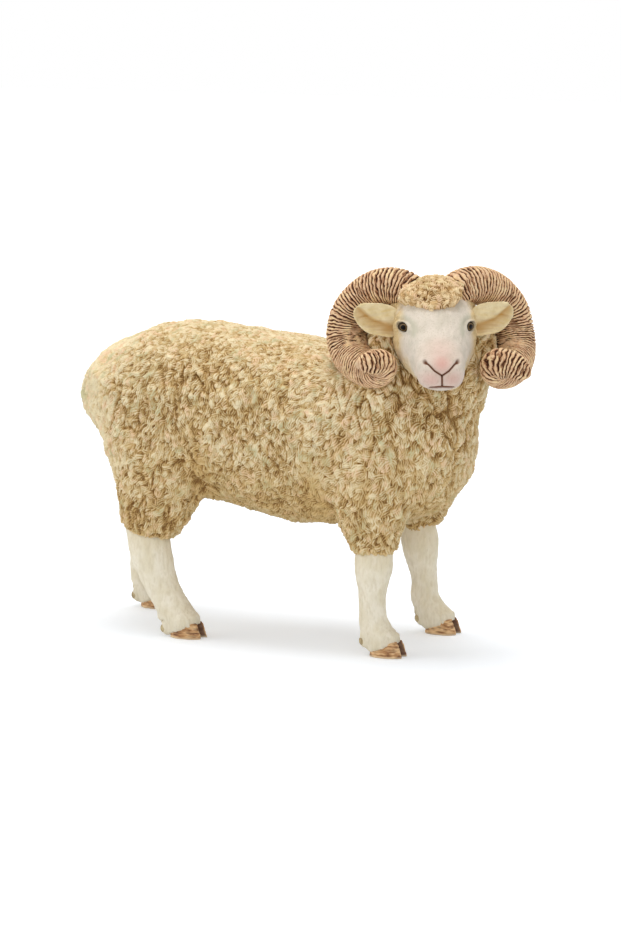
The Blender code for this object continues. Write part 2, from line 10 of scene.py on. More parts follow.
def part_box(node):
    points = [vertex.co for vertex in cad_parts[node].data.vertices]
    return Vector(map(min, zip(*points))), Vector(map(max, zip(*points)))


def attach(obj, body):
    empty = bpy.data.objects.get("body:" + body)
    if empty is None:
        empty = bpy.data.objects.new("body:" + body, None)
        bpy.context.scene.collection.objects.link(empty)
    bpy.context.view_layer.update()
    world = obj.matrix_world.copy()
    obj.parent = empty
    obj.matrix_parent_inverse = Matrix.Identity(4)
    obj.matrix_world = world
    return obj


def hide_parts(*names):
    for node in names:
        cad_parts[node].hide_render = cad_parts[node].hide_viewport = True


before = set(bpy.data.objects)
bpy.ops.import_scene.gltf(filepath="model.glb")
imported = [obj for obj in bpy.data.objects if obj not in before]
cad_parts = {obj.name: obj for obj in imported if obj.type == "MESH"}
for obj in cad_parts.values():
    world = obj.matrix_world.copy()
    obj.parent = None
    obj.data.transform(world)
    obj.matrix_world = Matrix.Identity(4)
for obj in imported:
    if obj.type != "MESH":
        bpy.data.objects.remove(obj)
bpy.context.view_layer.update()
print("frame loaded:", len(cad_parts), "nodes")

mm = 0.001
xAxis, zAxis = Vector((1, 0, 0)), Vector((0, 0, 1))
legPlaces = ("front_right", "front_left", "rear_right", "rear_left")
sideSigns = {"left": 1, "right": -1}


def nodeCentre(name):
    low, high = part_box(name)
    return (low + high) / 2


# The head's own frame, found from the two eyes: forward, left and up from the middle of the skull
headPlace = {"eyesForward": 5.2 * mm, "eyesUp": 0.1 * mm}
headLeft = (nodeCentre("eye_left") - nodeCentre("eye_right")).normalized()
headForward = headLeft.cross(zAxis).normalized()
skull = (nodeCentre("eye_left") + nodeCentre("eye_right")) / 2
skull -= headForward * headPlace["eyesForward"] + zAxis * headPlace["eyesUp"]
headTurn = Matrix((headForward, headLeft, zAxis)).transposed()
headMatrix = Matrix.Translation(skull) @ headTurn.to_4x4()


def inHead(points):
    return (points - np.array(skull)) @ np.array(headTurn)


def onHead(forward, left, up):
    return skull + headTurn @ Vector((forward, left, up))


def headPlug(place, radii, sign=1):
    # an egg-shaped filler on the head, given as forward, outward and up in millimetres
    forward, outward, up = place
    middle = Matrix.Translation((forward * mm, sign * outward * mm, up * mm))
    return headMatrix @ middle, radii


# Small tools for points and noise

def cloud(points, size, seed):
    # smooth noise from -1 to 1 whose blobs are about as big as size, a length or one for each axis
    count = 32
    table = np.random.default_rng(seed).uniform(-1, 1, (count, count, count))
    placed = points / np.array(size) + 1000
    corner = np.floor(placed).astype(int)
    t = placed - corner
    t = t * t * (3 - 2 * t)
    total = np.zeros(len(points))
    for step in np.ndindex(2, 2, 2):
        weight = np.prod(np.abs(1 - np.array(step) - t), axis=1)
        total += weight * table[tuple((corner + step).T % count)]
    return total * 1.6  # the mean of eight corners is weak


def clouds(points, size, seeds):
    # one noise for each seed, side by side
    return np.stack([cloud(points, size, seed) for seed in seeds], axis=1)


def ease(low, high, values):
    # 0 at low and beyond, rising smoothly to 1 at high
    t = np.clip((values - low) / (high - low), 0, 1)
    return t * t * (3 - 2 * t)


def bell(values, middle, half):
    # 1 at the middle, fading to both sides
    return np.exp(-((values - middle) / half) ** 2)


def spot(across, up, middle, half):
    # the same on a plane
    return bell(across, middle[0], half[0]) * bell(up, middle[1], half[1])


def meshArrays(mesh):
    # the mesh's points and normals
    arrays = np.empty((2, len(mesh.vertices) * 3))
    for key, array in zip(("co", "normal"), arrays):
        mesh.vertices.foreach_get(key, array)
    return arrays.reshape(2, -1, 3)


def setPoints(mesh, points):
    mesh.vertices.foreach_set("co", points.ravel())
    mesh.update()


def storeValues(mesh, **values):
    for name, numbers in values.items():
        layer = mesh.attributes.new(name, "FLOAT", "POINT")
        layer.data.foreach_set("value", np.asarray(numbers, np.float32))


def pointTree(points):
    tree = KDTree(len(points))
    for i, point in enumerate(points):
        tree.insert(point, i)
    tree.balance()
    return tree


def linkNew(name, mesh):
    made = bpy.data.objects.new(name, mesh)
    bpy.context.scene.collection.objects.link(made)
    return made


def evaluatedMesh(source):
    graph = bpy.context.evaluated_depsgraph_get()
    return bpy.data.meshes.new_from_object(source.evaluated_get(graph))


def fineSkin(node, detail, plugs=()):
    # a smooth copy of a CAD node, with its seats filled by egg-shaped plugs, their radii in millimetres;
    # the detail is the size of its faces and how many times it is softened
    build = bmesh.new()
    build.from_mesh(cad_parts[node].data)
    bmesh.ops.remove_doubles(build, verts=build.verts, dist=1e-6)
    for place, radii in plugs:
        matrix = place @ Matrix.Diagonal((*(radius * mm for radius in radii), 1))
        bmesh.ops.create_uvsphere(build, u_segments=24, v_segments=14, radius=1, matrix=matrix)
    mesh = bpy.data.meshes.new("draft")
    build.to_mesh(mesh)
    build.free()
    draft = linkNew("draft", mesh)
    skin = draft.modifiers.new("skin", "REMESH")
    skin.mode = "VOXEL"
    soften = draft.modifiers.new("soften", "SMOOTH")
    skin.voxel_size, soften.iterations = detail
    soften.factor = 0.5
    finer = draft.modifiers.new("finer", "SUBSURF")
    finer.levels = finer.render_levels = 1
    fine = evaluatedMesh(draft)
    bpy.data.objects.remove(draft)
    return fine, *meshArrays(fine)


def mended(mesh):
    # the same mesh with its doubled corners joined and its faces turned outward
    build = bmesh.new()
    build.from_mesh(mesh)
    bmesh.ops.remove_doubles(build, verts=build.verts, dist=1e-7)
    bmesh.ops.recalc_face_normals(build, faces=build.faces)
    build.to_mesh(mesh)
    build.free()
    return mesh


def finishPiece(name, mesh, material, replaced):
    mesh.name = name
    mesh.materials.clear()
    mesh.materials.append(material)
    mesh.shade_smooth()
    piece = linkNew(name, mesh)
    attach(piece, "root")
    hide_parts(*replaced)
    return piece


# Nodes

def newNode(tree, kind, inputs={}, **settings):
    made = tree.nodes.new(kind)
    for key, value in settings.items():
        setattr(made, key, value)
    for key, value in inputs.items():
        if isinstance(value, bpy.types.NodeSocket):
            tree.links.new(value, made.inputs[key])
        else:
            made.inputs[key].default_value = value
    return made


def combine(tree, operation, a, b):
    return newNode(tree, "ShaderNodeMath", {0: a, 1: b}, operation=operation).outputs[0]


def times(tree, a, b):
    return combine(tree, "MULTIPLY", a, b)


def plus(tree, a, b):
    return combine(tree, "ADD", a, b)


def limited(tree, value, low, high):
    inputs = {"Value": value, "From Min": low, "From Max": high}
    made = newNode(tree, "ShaderNodeMapRange", inputs, interpolation_type="SMOOTHSTEP")
    return made.outputs["Result"]


def newMaterial(name, roughness, specular):
    material = bpy.data.materials.new(name)
    material.use_nodes = True
    tree = material.node_tree
    shader = tree.nodes["Principled BSDF"]
    shader.inputs["Roughness"].default_value = roughness
    shader.inputs["Specular IOR Level"].default_value = specular
    return material, tree, shader


def attributeOf(tree, name):
    return newNode(tree, "ShaderNodeAttribute", attribute_name=name).outputs["Fac"]


def noiseOf(tree, size, detail=3.0, stretch=None):
    # noise on object coordinates whose blobs are about as big as size
    place = newNode(tree, "ShaderNodeTexCoord").outputs["Object"]
    if stretch:
        place = newNode(tree, "ShaderNodeMapping", {0: place, "Scale": stretch}).outputs[0]
    inputs = {"Vector": place, "Scale": 1 / size, "Detail": detail}
    return newNode(tree, "ShaderNodeTexNoise", inputs).outputs["Fac"]


def grainOf(tree, size, detail):
    return times(tree, combine(tree, "SUBTRACT", noiseOf(tree, size, detail), 0.5), 0.5)


def ramp(tree, value, *stops):
    made = newNode(tree, "ShaderNodeValToRGB", {"Fac": value})
    marks = made.color_ramp.elements
    while len(marks) < len(stops):
        marks.new(0.5)
    for mark, (position, colour) in zip(marks, stops):
        mark.position = position
        mark.color = (*colour, 1)
    return made.outputs["Color"]


def tint(tree, colour, factor, tone, share=1):
    # lays a tone over the colour where the factor says
    if share != 1:
        factor = times(tree, factor, share)
    inputs = {0: factor, 6: colour, 7: (*tone, 1)}
    return newNode(tree, "ShaderNodeMix", inputs, data_type="RGBA").outputs[2]


def layered(tree, colour, layers):
    # lays tones over the colour, each with its share and where it lies: a stored value or noise,
    # as it is or between two limits
    for tone, share, source, *limits in layers:
        factor = attributeOf(tree, source) if isinstance(source, str) else noiseOf(tree, *source)
        colour = tint(tree, colour, limited(tree, factor, *limits) if limits else factor, tone, share)
    return colour


def linkPaint(tree, shader, colour, noise=None, depth=0.0, strength=1.0):
    tree.links.new(colour, shader.inputs["Base Color"])
    if noise:
        inputs = {"Height": noiseOf(tree, *noise), "Distance": depth, "Strength": strength}
        made = newNode(tree, "ShaderNodeBump", inputs)
        tree.links.new(made.outputs["Normal"], shader.inputs["Normal"])


def paintOf(name, paint):
    # noise through a ramp, layers of tones over it, and noise as bumps
    material, tree, shader = newMaterial(name, *paint["finish"])
    colour = ramp(tree, noiseOf(tree, *paint["noise"]), *paint["ramp"])
    linkPaint(tree, shader, layered(tree, colour, paint["layers"]), *paint["bumps"])
    return material


# Fleece: tufts of parallel strands pressed into the surface, dark in the creases with the paint's brown wash
# and painted shade

fleece = {
    "detail": (0.352 * mm, 9),
    "seed": 11,
    # half length, half width and lift of a tuft, the gap between tufts, and the pitch of their strands
    "back": (0.72 * mm, 0.52 * mm, 0.36 * mm, 0.66 * mm, 0.42 * mm),
    "flank": (0.88 * mm, 0.55 * mm, 0.5 * mm, 0.74 * mm, 0.42 * mm),
    "chest": (1.05 * mm, 0.64 * mm, 0.62 * mm, 0.86 * mm, 0.45 * mm),
    "strandLift": 0.14 * mm,
    "turnSpread": 0.55,
    "neighbours": 7,
    # where the wool changes, from none to full: millimetres along the body or up, or the slope
    "zones": {"chest": (2, 20), "back": (0.45, 0.9), "under": (-0.2, -0.8), "belly": (-0.2, -0.9),
              "rump": (-30, -45), "rumpUp": (24, 42), "thigh": (-36, -41), "breast": (31, 36),
              "low": (46, 30), "flankHollow": (52, 36), "elbowHollow": (44, 30)},
    # how far the tufts lean back, more so on the back, and how much that wanders
    "lean": 0.45, "leanOnBack": 0.3, "wander": (0.5, 0.3),
    "foldSize": (1.7 * mm, 1.7 * mm, 6.5 * mm),
    "foldDepth": 0.75 * mm, "foldWidth": 0.32, "foldBend": 1.4,
    "lumpSize": 2.4 * mm,
    "lumpLift": 0.26 * mm,
    "meanSink": 0.22 * mm,
    # how far the wool hangs lower at the belly, and lies flatter behind the thighs
    # and on the left of the chest
    "bellySag": 0.85 * mm,
    "thighTrim": 1.35 * mm,
    "chestTrim": 0.6 * mm,
    # fillers for the seats of the legs, the head and the tail, in millimetres
    "legPlug": (3.9, 3.4, 4.3), "legPlugDrop": 3.6,
    "headPlug": ((-2, 0, -1.5), (7.4, 7.0, 7.2)),
    "tailPlug": (2.4, 3.6, 6.0), "tailPlugAhead": 1.5,
    "clearance": 0.7 * mm,  # within this of a horn or an ear the wool lies flat
    # where the pieces part, in millimetres: haunch and chest along the body, then the heights
    "cuts": {"haunch": -15, "chest": 8, "rump": 39, "neck": 42, "loin": 40},
    "tones": {
        "light": (0.9, 0.77, 0.505), "mid": (0.76, 0.58, 0.31), "ochre": (0.55, 0.35, 0.125),
        "crease": (0.26, 0.135, 0.04), "pink": (0.9, 0.62, 0.4), "green": (0.6, 0.57, 0.33),
        "gold": (0.66, 0.43, 0.15),
    },
}

# How much one tuft may differ from the next
tuftRange = {"scale": (0.8, 1.25), "rise": (0.45, 1.15), "bend": (-0.9, 0.9), "pitch": (0.8, 1.25)}


def spreadSeeds(points, gaps, randomness):
    # picks points at least their own gap apart, by filling a grid of cells
    cell = gaps.max()
    keys = np.floor(points / cell).astype(int)
    filled, chosen = {}, []
    around = [(i, j, k) for i in (-1, 0, 1) for j in (-1, 0, 1) for k in (-1, 0, 1)]
    for n in randomness.permutation(len(points)):
        x, y, z = keys[n]
        px, py, pz = points[n]
        limit = gaps[n] ** 2
        clear = True
        for i, j, k in around:
            for qx, qy, qz in filled.get((x + i, y + j, z + k), ()):
                if (px - qx) ** 2 + (py - qy) ** 2 + (pz - qz) ** 2 < limit:
                    clear = False
                    break
            if not clear:
                break
        if clear:
            filled.setdefault((x, y, z), []).append((px, py, pz))
            chosen.append(n)
    return np.array(chosen)


def tuftRelief(points, normals, sizes, flow, seed, turnSpread, neighbours=6):
    # the relief with strands, the relief without them, and what the paint reads
    randomness = np.random.default_rng(seed)
    sizes = [np.full(len(points), size) for size in sizes]
    seeds = spreadSeeds(points, sizes[3], randomness)
    halfLength, halfWidth, lift, _, pitch = (size[seeds] for size in sizes)
    tree = pointTree(points[seeds])
    near = np.array([[hit[1] for hit in tree.find_n(p, neighbours)] for p in points])
    seedNormals = normals[seeds]
    along = flow[seeds] - seedNormals * np.sum(flow[seeds] * seedNormals, axis=1)[:, None]
    along /= np.linalg.norm(along, axis=1)[:, None] + 1e-9
    across = np.cross(seedNormals, along)
    turn = randomness.normal(0, turnSpread, len(seeds))
    along, across = (
        along * np.cos(turn)[:, None] + across * np.sin(turn)[:, None],
        across * np.cos(turn)[:, None] - along * np.sin(turn)[:, None])
    scale = randomness.uniform(*tuftRange["scale"], len(seeds))
    peak = lift * randomness.uniform(*tuftRange["rise"], len(seeds))
    bend = randomness.uniform(*tuftRange["bend"], len(seeds))
    shift = randomness.uniform(0, 1, len(seeds))
    tone = randomness.uniform(0, 1, len(seeds))
    pitch = pitch * randomness.uniform(*tuftRange["pitch"], len(seeds))
    best = np.full(len(points), -1.0)
    bestTone = np.full(len(points), 0.5)
    waves = np.zeros(len(points))
    weights = np.full(len(points), 1e-6)
    for k in range(neighbours):
        at = near[:, k]
        offset = points - points[seeds[at]]
        u = np.sum(offset * along[at], axis=1) / (halfLength[at] * scale[at])
        side = np.sum(offset * across[at], axis=1)
        v = side / (halfWidth[at] * scale[at]) + bend[at] * (u * u - 0.3)
        body = 1 - u * u * np.where(u > 0, 1.1, 0.85) - v * v
        # a tuft rises steeply at its rim and slopes up towards its tip
        height = peak[at] * (0.15 + 0.85 * np.sqrt(np.clip(body, 0, 1))) * (0.66 + 0.34 * u)
        height = np.where(body > 0, height, 0.1 * lift[at] * body)
        higher = height > best
        best = np.where(higher, height, best)
        bestTone = np.where(higher, tone[at], bestTone)
        # every tuft adds its own parallel strands, so that neighbours run into each other
        weight = np.exp(3.0 * np.maximum(body, -2))
        bowed = v * halfWidth[at] * scale[at]
        waves += weight * np.cos(2 * np.pi * (bowed / pitch[at] + shift[at]))
        weights += weight
    strand = np.clip(1.25 * waves / weights, -1, 1)
    fray = cloud(points, 0.7 * mm, 22)
    strand = np.clip(strand * (1 + 0.45 * fray) - 0.3 * fray, -1, 1)
    return best + fleece["strandLift"] * strand, best, {"tone": bestTone, "groove": 0.5 - 0.5 * strand}


def nearPieces(points, pieces, reach):
    # 0 where a point touches one of the pieces, rising to 1 at the reach
    corners = np.concatenate([meshArrays(piece.data)[0] for piece in pieces])
    tree = pointTree(corners)
    low, high = corners.min(0) - reach, corners.max(0) + reach
    close = np.all((points > low) & (points < high), axis=1)
    away = np.ones(len(points))
    for i in np.flatnonzero(close):
        away[i] = min(1.0, tree.find(points[i])[2] / reach)
    return away


def blendSizes(chestShare, backShare):
    sizes = []
    for back, flank, chest in zip(fleece["back"], fleece["flank"], fleece["chest"]):
        size = flank + (chest - flank) * chestShare
        sizes.append(size + (back - size) * backShare)
    return sizes


def woolMaterial(name, tones):
    material, tree, shader = newMaterial(name, 0.82, 0.25)
    wash, tone, groove = (attributeOf(tree, word) for word in ("wash", "tone", "groove"))
    colour = ramp(tree, tone, (0.0, tones["mid"]), (0.4, tones["light"]), (1.0, tones["light"]))
    colour = layered(tree, colour, (
        (tones["pink"], 0.75, (2.0 * mm,), 0.5, 0.66),
        (tones["green"], 0.75, (2.8 * mm, 3.0, (1.0, 1.3, 0.8)), 0.52, 0.68),
        (tones["mid"], 0.25, (5 * mm, 2.0), 0.45, 0.75),
        (tones["gold"], 0.7, "warm")))
    # painted shade over the paint's wash: ochre, then a near-black crease tone, the deeper a point lies
    # between and within the tufts
    depth = plus(tree, times(tree, wash, 0.75), times(tree, groove, 0.6))
    depth = plus(tree, depth, grainOf(tree, 0.3 * mm, 3.0))
    colour = tint(tree, colour, limited(tree, depth, 0.15, 0.8), tones["ochre"])
    colour = tint(tree, colour, limited(tree, depth, 0.58, 1.08), tones["crease"])
    linkPaint(tree, shader, colour, (0.22 * mm, 2.0), 0.06 * mm, 0.8)
    return material


def storeWool(mesh, base, owned, lift, warm, shadeAndLightShift):
    # what the wool's paint reads
    # darker the deeper a point lies below its tuft top: the paint's brown wash together with painted shade
    wash = np.clip(1.0 - base / (lift * 0.62), 0, 1) + shadeAndLightShift
    storeValues(mesh, wash=np.clip(wash, 0, 1), warm=warm, **owned)


def rimLoops(rim):
    # the closed runs of corners in a set of directed edges
    following = {}
    for a, b in rim:
        following.setdefault(a, []).append(b)
    while following:
        start = next(iter(following))
        loop = [start]
        while True:
            steps = following.get(loop[-1])
            if not steps:
                break
            step = steps.pop()
            if not steps:
                del following[loop[-1]]
            if step == start:
                break
            loop.append(step)
        yield loop


def cutUp(mesh, labels, names, material, replaced):
    # splits a mesh into closed pieces by a label on each face, with hidden caps on the seams
    corners = np.empty(len(mesh.polygons) * 4, int)
    mesh.loops.foreach_get("vertex_index", corners)
    corners = corners.reshape(-1, 4)
    points, _ = meshArrays(mesh)
    values = {}
    for layer in mesh.attributes:
        if layer.domain == "POINT" and layer.data_type == "FLOAT":
            values[layer.name] = np.empty(len(points), np.float32)
            layer.data.foreach_get("value", values[layer.name])
    for label, name in enumerate(names):
        used, local = np.unique(corners[labels == label], return_inverse=True)
        local = local.reshape(-1, 4)
        ends = np.concatenate([local[:, [i, (i + 1) % 4]] for i in range(4)])
        codes = ends[:, 0] * len(used) + ends[:, 1]
        turned = ends[:, 1] * len(used) + ends[:, 0]
        rim = ends[~np.isin(codes, turned)]
        piecePoints = list(points[used])
        origins = list(used)
        caps = []
        for loop in rimLoops(rim):
            middle = len(piecePoints)
            piecePoints.append(np.mean([points[used[i]] for i in loop], axis=0))
            origins.append(used[loop[0]])
            caps += [(b, a, middle) for a, b in zip(loop, loop[1:] + loop[:1])]
        made = bpy.data.meshes.new(name)
        made.from_pydata(np.array(piecePoints), [], local.tolist() + caps)
        storeValues(made, **{key: numbers[origins] for key, numbers in values.items()})
        edges = np.empty(len(made.edges) * 2, int)
        made.edges.foreach_get("vertices", edges)
        rimSet = {frozenset(pair) for pair in rim.tolist()}
        isRim = [frozenset(pair) in rimSet for pair in edges.reshape(-1, 2).tolist()]
        finishPiece(name, made, material, replaced)
        sharp = made.attributes.new("sharp_edge", "BOOLEAN", "EDGE")
        sharp.data.foreach_set("value", isRim)
        print("  ", name, len(made.polygons), "faces")


def fleecePlugs():
    plugs = []
    for place in legPlaces:
        points, _ = meshArrays(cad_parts[place + "_leg"].data)
        top = Vector(points[points[:, 2] > points[:, 2].max() - 0.5 * mm].mean(0))
        plugs.append((Matrix.Translation(top - zAxis * fleece["legPlugDrop"] * mm), fleece["legPlug"]))
    middle = nodeCentre("tail") + xAxis * fleece["tailPlugAhead"] * mm
    return plugs + [headPlug(*fleece["headPlug"]), (Matrix.Translation(middle), fleece["tailPlug"])]


def fleeceLabels(mesh, points):
    # the piece that each face belongs to
    cuts = fleece["cuts"]
    corners = np.empty(len(mesh.loops), int)
    mesh.loops.foreach_get("vertex_index", corners)
    x, y, z = (points[corners.reshape(-1, 4)].mean(1) / mm).T
    ends = 2 * (z > np.where(x < 0, cuts["rump"], cuts["neck"])) + (y > 0)
    return np.where(x < cuts["haunch"], ends, np.where(x > cuts["chest"], 4 + ends, 8 + (z > cuts["loin"])))


def makeFleece(neighboursOfFleece):
    mesh, points, normals = fineSkin("torso", fleece["detail"], fleecePlugs())
    print("  fleece points", len(points))
    x, y, z = points.T / mm
    slope = normals[:, 2]
    zones = fleece["zones"]
    chestShare = ease(*zones["chest"], x + 0.15 * (45 - z))
    backShare = ease(*zones["back"], slope)
    sizes = blendSizes(chestShare, backShare)
    back = -fleece["lean"] + fleece["wander"][0] * cloud(points, 7 * mm, 3) - fleece["leanOnBack"] * backShare
    flow = np.stack([back, fleece["wander"][1] * cloud(points, 8 * mm, 4), np.full(len(x), -1.0)], axis=1)
    relief, base, owned = tuftRelief(points, normals, sizes, flow, fleece["seed"], fleece["turnSpread"],
                                     fleece["neighbours"])
    # upright folds that come and go on the flanks
    bent = points + clouds(points, 5 * mm, (5, 6, 7)) * fleece["foldBend"] * mm
    fold = 1 - ease(0.0, fleece["foldWidth"], np.abs(cloud(bent, fleece["foldSize"], 8)))
    fold = fold * (1 - backShare) * (0.45 + 0.55 * ease(-0.2, 0.5, cloud(points, 9 * mm, 9)))
    rump = ease(*zones["rump"], x) * ease(*zones["rumpUp"], z)
    fold *= 1 - 0.7 * rump
    lumps = cloud(points, fleece["lumpSize"], 10) + 0.6 * cloud(points, fleece["lumpSize"] * 2, 12)
    height = relief + fleece["lumpLift"] * lumps - fleece["foldDepth"] * fold - fleece["meanSink"]
    height += fleece["bellySag"] * ease(*zones["belly"], slope) * bell(x, -2, 9)
    height -= fleece["thighTrim"] * ease(*zones["thigh"], x) * bell(z, 25, 5)
    height -= fleece["chestTrim"] * ease(*zones["breast"], 0.9 * x + 0.44 * y) * bell(z, 43, 6)
    away = nearPieces(points, neighboursOfFleece, fleece["clearance"])
    height = np.where(height > 0, height * away, height)
    setPoints(mesh, points + normals * height[:, None])
    # painted shade: a darker, warmer gold in the hollows, underneath, low down and in the folds, and darker
    # in the folds and low lumps; painted light: paler on the rump and the shoulder
    hollows = bell(x, -17, 2.2) * ease(*zones["flankHollow"], z)
    hollows += bell(x, 9, 2.5) * ease(*zones["elbowHollow"], z)
    warm = 0.75 * hollows + 0.4 * ease(*zones["under"], slope) + 0.5 * fold
    warm = np.clip(warm + 0.25 * ease(*zones["low"], z), 0, 1)
    # painted light: the rump, the shoulder and a little of the back are painted paler, and their creases
    # weaker
    shoulder = spot(x, z, (15, 46), (8, 11))
    paintedLight = 0.06 * backShare + 0.46 * rump + 0.22 * shoulder
    owned["groove"] = owned["groove"] * (1 - 0.3 * rump - 0.15 * shoulder)
    storeWool(mesh, base, owned, sizes[2], warm, 0.6 * fold + 0.15 * np.clip(-lumps, 0, 1) - paintedLight)
    parts = ("haunch", "rump", "chest", "neck")
    names = [f"fleece_{part}_{side}" for part in parts for side in ("right", "left")]
    paint = woolMaterial("fleece_paint", fleece["tones"])
    names += ["fleece_belly", "fleece_loin"]
    cutUp(mesh, fleeceLabels(mesh, points), names, paint, ["torso"])


# Crown and tail: small woolly pieces whose tufts run out from the top

crown = {
    "detail": (0.28 * mm, 6),
    "seed": 5,
    "tuft": (0.74 * mm, 0.52 * mm, 0.64 * mm, 0.62 * mm, 0.35 * mm),
    "turnSpread": 1.0, "sink": 0.1 * mm, "paintedLight": 0.0, "warmth": 0.0,
    "plug": ((1.0, 0, 4.2), (4.6, 5.6, 2.6)),
    # the lower edge on the forehead, as left and up in millimetres on the head
    "edge": ((-8.0, 5.6), (-6.9, 5.1), (-5.1, 4.85), (-3.5, 4.6), (-2.0, 3.9), (-0.4, 3.8),
             (1.4, 4.2), (3.3, 4.7), (4.3, 5.5), (5.2, 7.0), (6.5, 8.5)),
    "dive": 2.4 * mm,
    # a lock that hangs lower on the forehead: its middle, half width and drop in millimetres
    "lock": (-1.3, 2.4, 0.35),
    "tones": {
        **fleece["tones"], "light": (0.92, 0.72, 0.43), "mid": (0.68, 0.45, 0.21),
        "ochre": (0.42, 0.23, 0.07), "crease": (0.12, 0.045, 0.015), "green": (0.68, 0.56, 0.29),
    },
}

tail = {
    "detail": (0.3 * mm, 6),
    "seed": 6,
    "tuft": (0.9 * mm, 0.7 * mm, 0.4 * mm, 0.8 * mm, 0.44 * mm),
    # the tail is painted paler with weaker creases, the same painted light as on the rump
    "turnSpread": 0.8, "sink": 0.2 * mm, "paintedLight": 0.45, "warmth": 0.1,
    "tones": fleece["tones"],
}


def makeWoolPiece(node, name, look, plugs=(), seat=None):
    mesh, points, normals = fineSkin(node, look["detail"], plugs)
    low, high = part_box(node)
    flow = points - np.array(((low.x + high.x) / 2, (low.y + high.y) / 2, high.z))
    flow /= np.linalg.norm(flow, axis=1)[:, None]
    flow += 0.4 * clouds(points, 3 * mm, (31, 32, 33))
    relief, base, owned = tuftRelief(points, normals, look["tuft"], flow, look["seed"], look["turnSpread"])
    moved = points + normals * (relief - look["sink"])[:, None]
    setPoints(mesh, seat(points, moved) if seat else moved)
    # painted light: weaker creases and paler paint by the piece's share
    owned["groove"] = owned["groove"] * (1 - 0.6 * look["paintedLight"])
    warm = np.full(len(points), look["warmth"])
    storeWool(mesh, base, owned, look["tuft"][2], warm, -look["paintedLight"])
    finishPiece(name, mesh, woolMaterial(name + "_paint", look["tones"]), [node])


def crownSeat(points, moved):
    # below the crown's lower edge the wool dives under the skin
    forward, left, up = inHead(points).T / mm
    lefts, ups = zip(*crown["edge"])
    edge = np.interp(left, lefts, ups) + 0.4 * cloud(points, 1.1 * mm, 35)
    seen = np.maximum(ease(-0.7, 0.4, up - edge), 1 - ease(-1.2, 0.3, forward))[:, None]
    inward = np.array(skull) - points
    inward /= np.linalg.norm(inward, axis=1)[:, None]
    middle, half, drop = crown["lock"]
    hang = drop * bell(left, middle, half) * ease(2.5, 4.5, forward) * ease(8.0, 4.5, up) * mm
    down = np.array(headTurn @ Vector((0.3, 0, -1)))
    return moved * seen + (points + inward * crown["dive"]) * (1 - seen) + down * hang[:, None]


# Horns: a tube along a curl, crossed by wavering growth ridges

horn = {
    "spread": 17.2 * mm, "height": 10.0 * mm, "sweep": 8.5 * mm, "thick": 7.2 * mm,
    "steps": 700, "sides": 64,
    "ridgePitch": 0.7 * mm, "ridgeDepth": 0.4 * mm, "waver": 1.0,
    "crowding": 0.08,  # how much closer the ridges stand towards the tip
    "tipLength": 1.6 * mm,
    "seeds": {"left": 1.0, "right": 7.0},
    # forward, outward, up and thickness of each point of the curl, root first
    "right": (
        (-0.12, 0.14, 0.4, 0.86), (-0.3, 0.3, 0.66, 0.97), (-0.54, 0.51, 0.715, 1.0),
        (-0.82, 0.73, 0.54, 1.0), (-1.0, 0.91, 0.16, 0.99), (-1.0, 0.95, -0.28, 1.09),
        (-0.78, 0.905, -0.63, 1.08), (-0.35, 0.8, -0.83, 1.0), (0.1, 0.68, -0.9, 0.87),
        (0.42, 0.62, -0.77, 0.79), (0.61, 0.685, -0.66, 0.69), (0.7, 0.8, -0.66, 0.55),
        (0.7, 0.93, -0.71, 0.28)),
    "left": (
        (-0.12, 0.14, 0.4, 0.86), (-0.3, 0.3, 0.66, 0.99), (-0.54, 0.52, 0.715, 1.02),
        (-0.82, 0.75, 0.55, 1.03), (-1.0, 0.94, 0.17, 1.03), (-1.0, 0.99, -0.29, 1.12),
        (-0.78, 0.99, -0.69, 1.09), (-0.35, 0.9, -0.9, 1.0), (0.1, 0.76, -0.95, 0.87),
        (0.4, 0.675, -0.84, 0.81), (0.59, 0.7, -0.72, 0.8), (0.7, 0.83, -0.74, 0.74),
        (0.74, 0.96, -0.86, 0.54), (0.68, 1.04, -0.96, 0.24)),
    "tones": {
        "brown": (0.6, 0.33, 0.18), "tan": (0.77, 0.49, 0.27), "straw": (0.86, 0.63, 0.33),
        "worn": (0.95, 0.78, 0.53), "grooveBrownAndShade": (0.42, 0.2, 0.095), "groove": (0.06, 0.018, 0.007),
        "tip": (0.6, 0.42, 0.28),
    },
}


def blendedRows(rows, steps):
    # a smooth run of rows through the given ones
    rows = np.array(rows)
    padded = np.concatenate([rows[:1], rows, rows[-1:]])
    made = []
    for a, b, c, d in zip(padded, padded[1:], padded[2:], padded[3:]):
        for step in range(steps):
            t = step / steps
            made.append(0.5 * (2 * b + (c - a) * t + (2 * a - 5 * b + 4 * c - d) * t ** 2
                               + (3 * b - a - 3 * c + d) * t ** 3))
    made.append(rows[-1])
    return np.array(made)


def hornPath(word):
    rows = blendedRows(horn[word], 12)
    places = rows[:, :3] * (horn["sweep"], sideSigns[word] * horn["spread"], horn["height"])
    radii = rows[:, 3] * horn["thick"] / 2
    lengths = np.concatenate([[0], np.cumsum(np.linalg.norm(np.diff(places, axis=0), axis=1))])
    toTip = np.clip((lengths[-1] - lengths) / horn["tipLength"], 0, 1)
    radii *= np.sqrt(1 - (1 - toTip) ** 2) * 0.98 + 0.02
    data = bpy.data.curves.new("horn_path", "CURVE")
    data.dimensions = "3D"
    spline = data.splines.new("POLY")
    spline.points.add(len(places) - 1)
    for point, place, radius in zip(spline.points, places, radii):
        point.co = (*(headMatrix @ Vector(place)), 1)
        point.radius = radius
    return linkNew("horn_path", data)


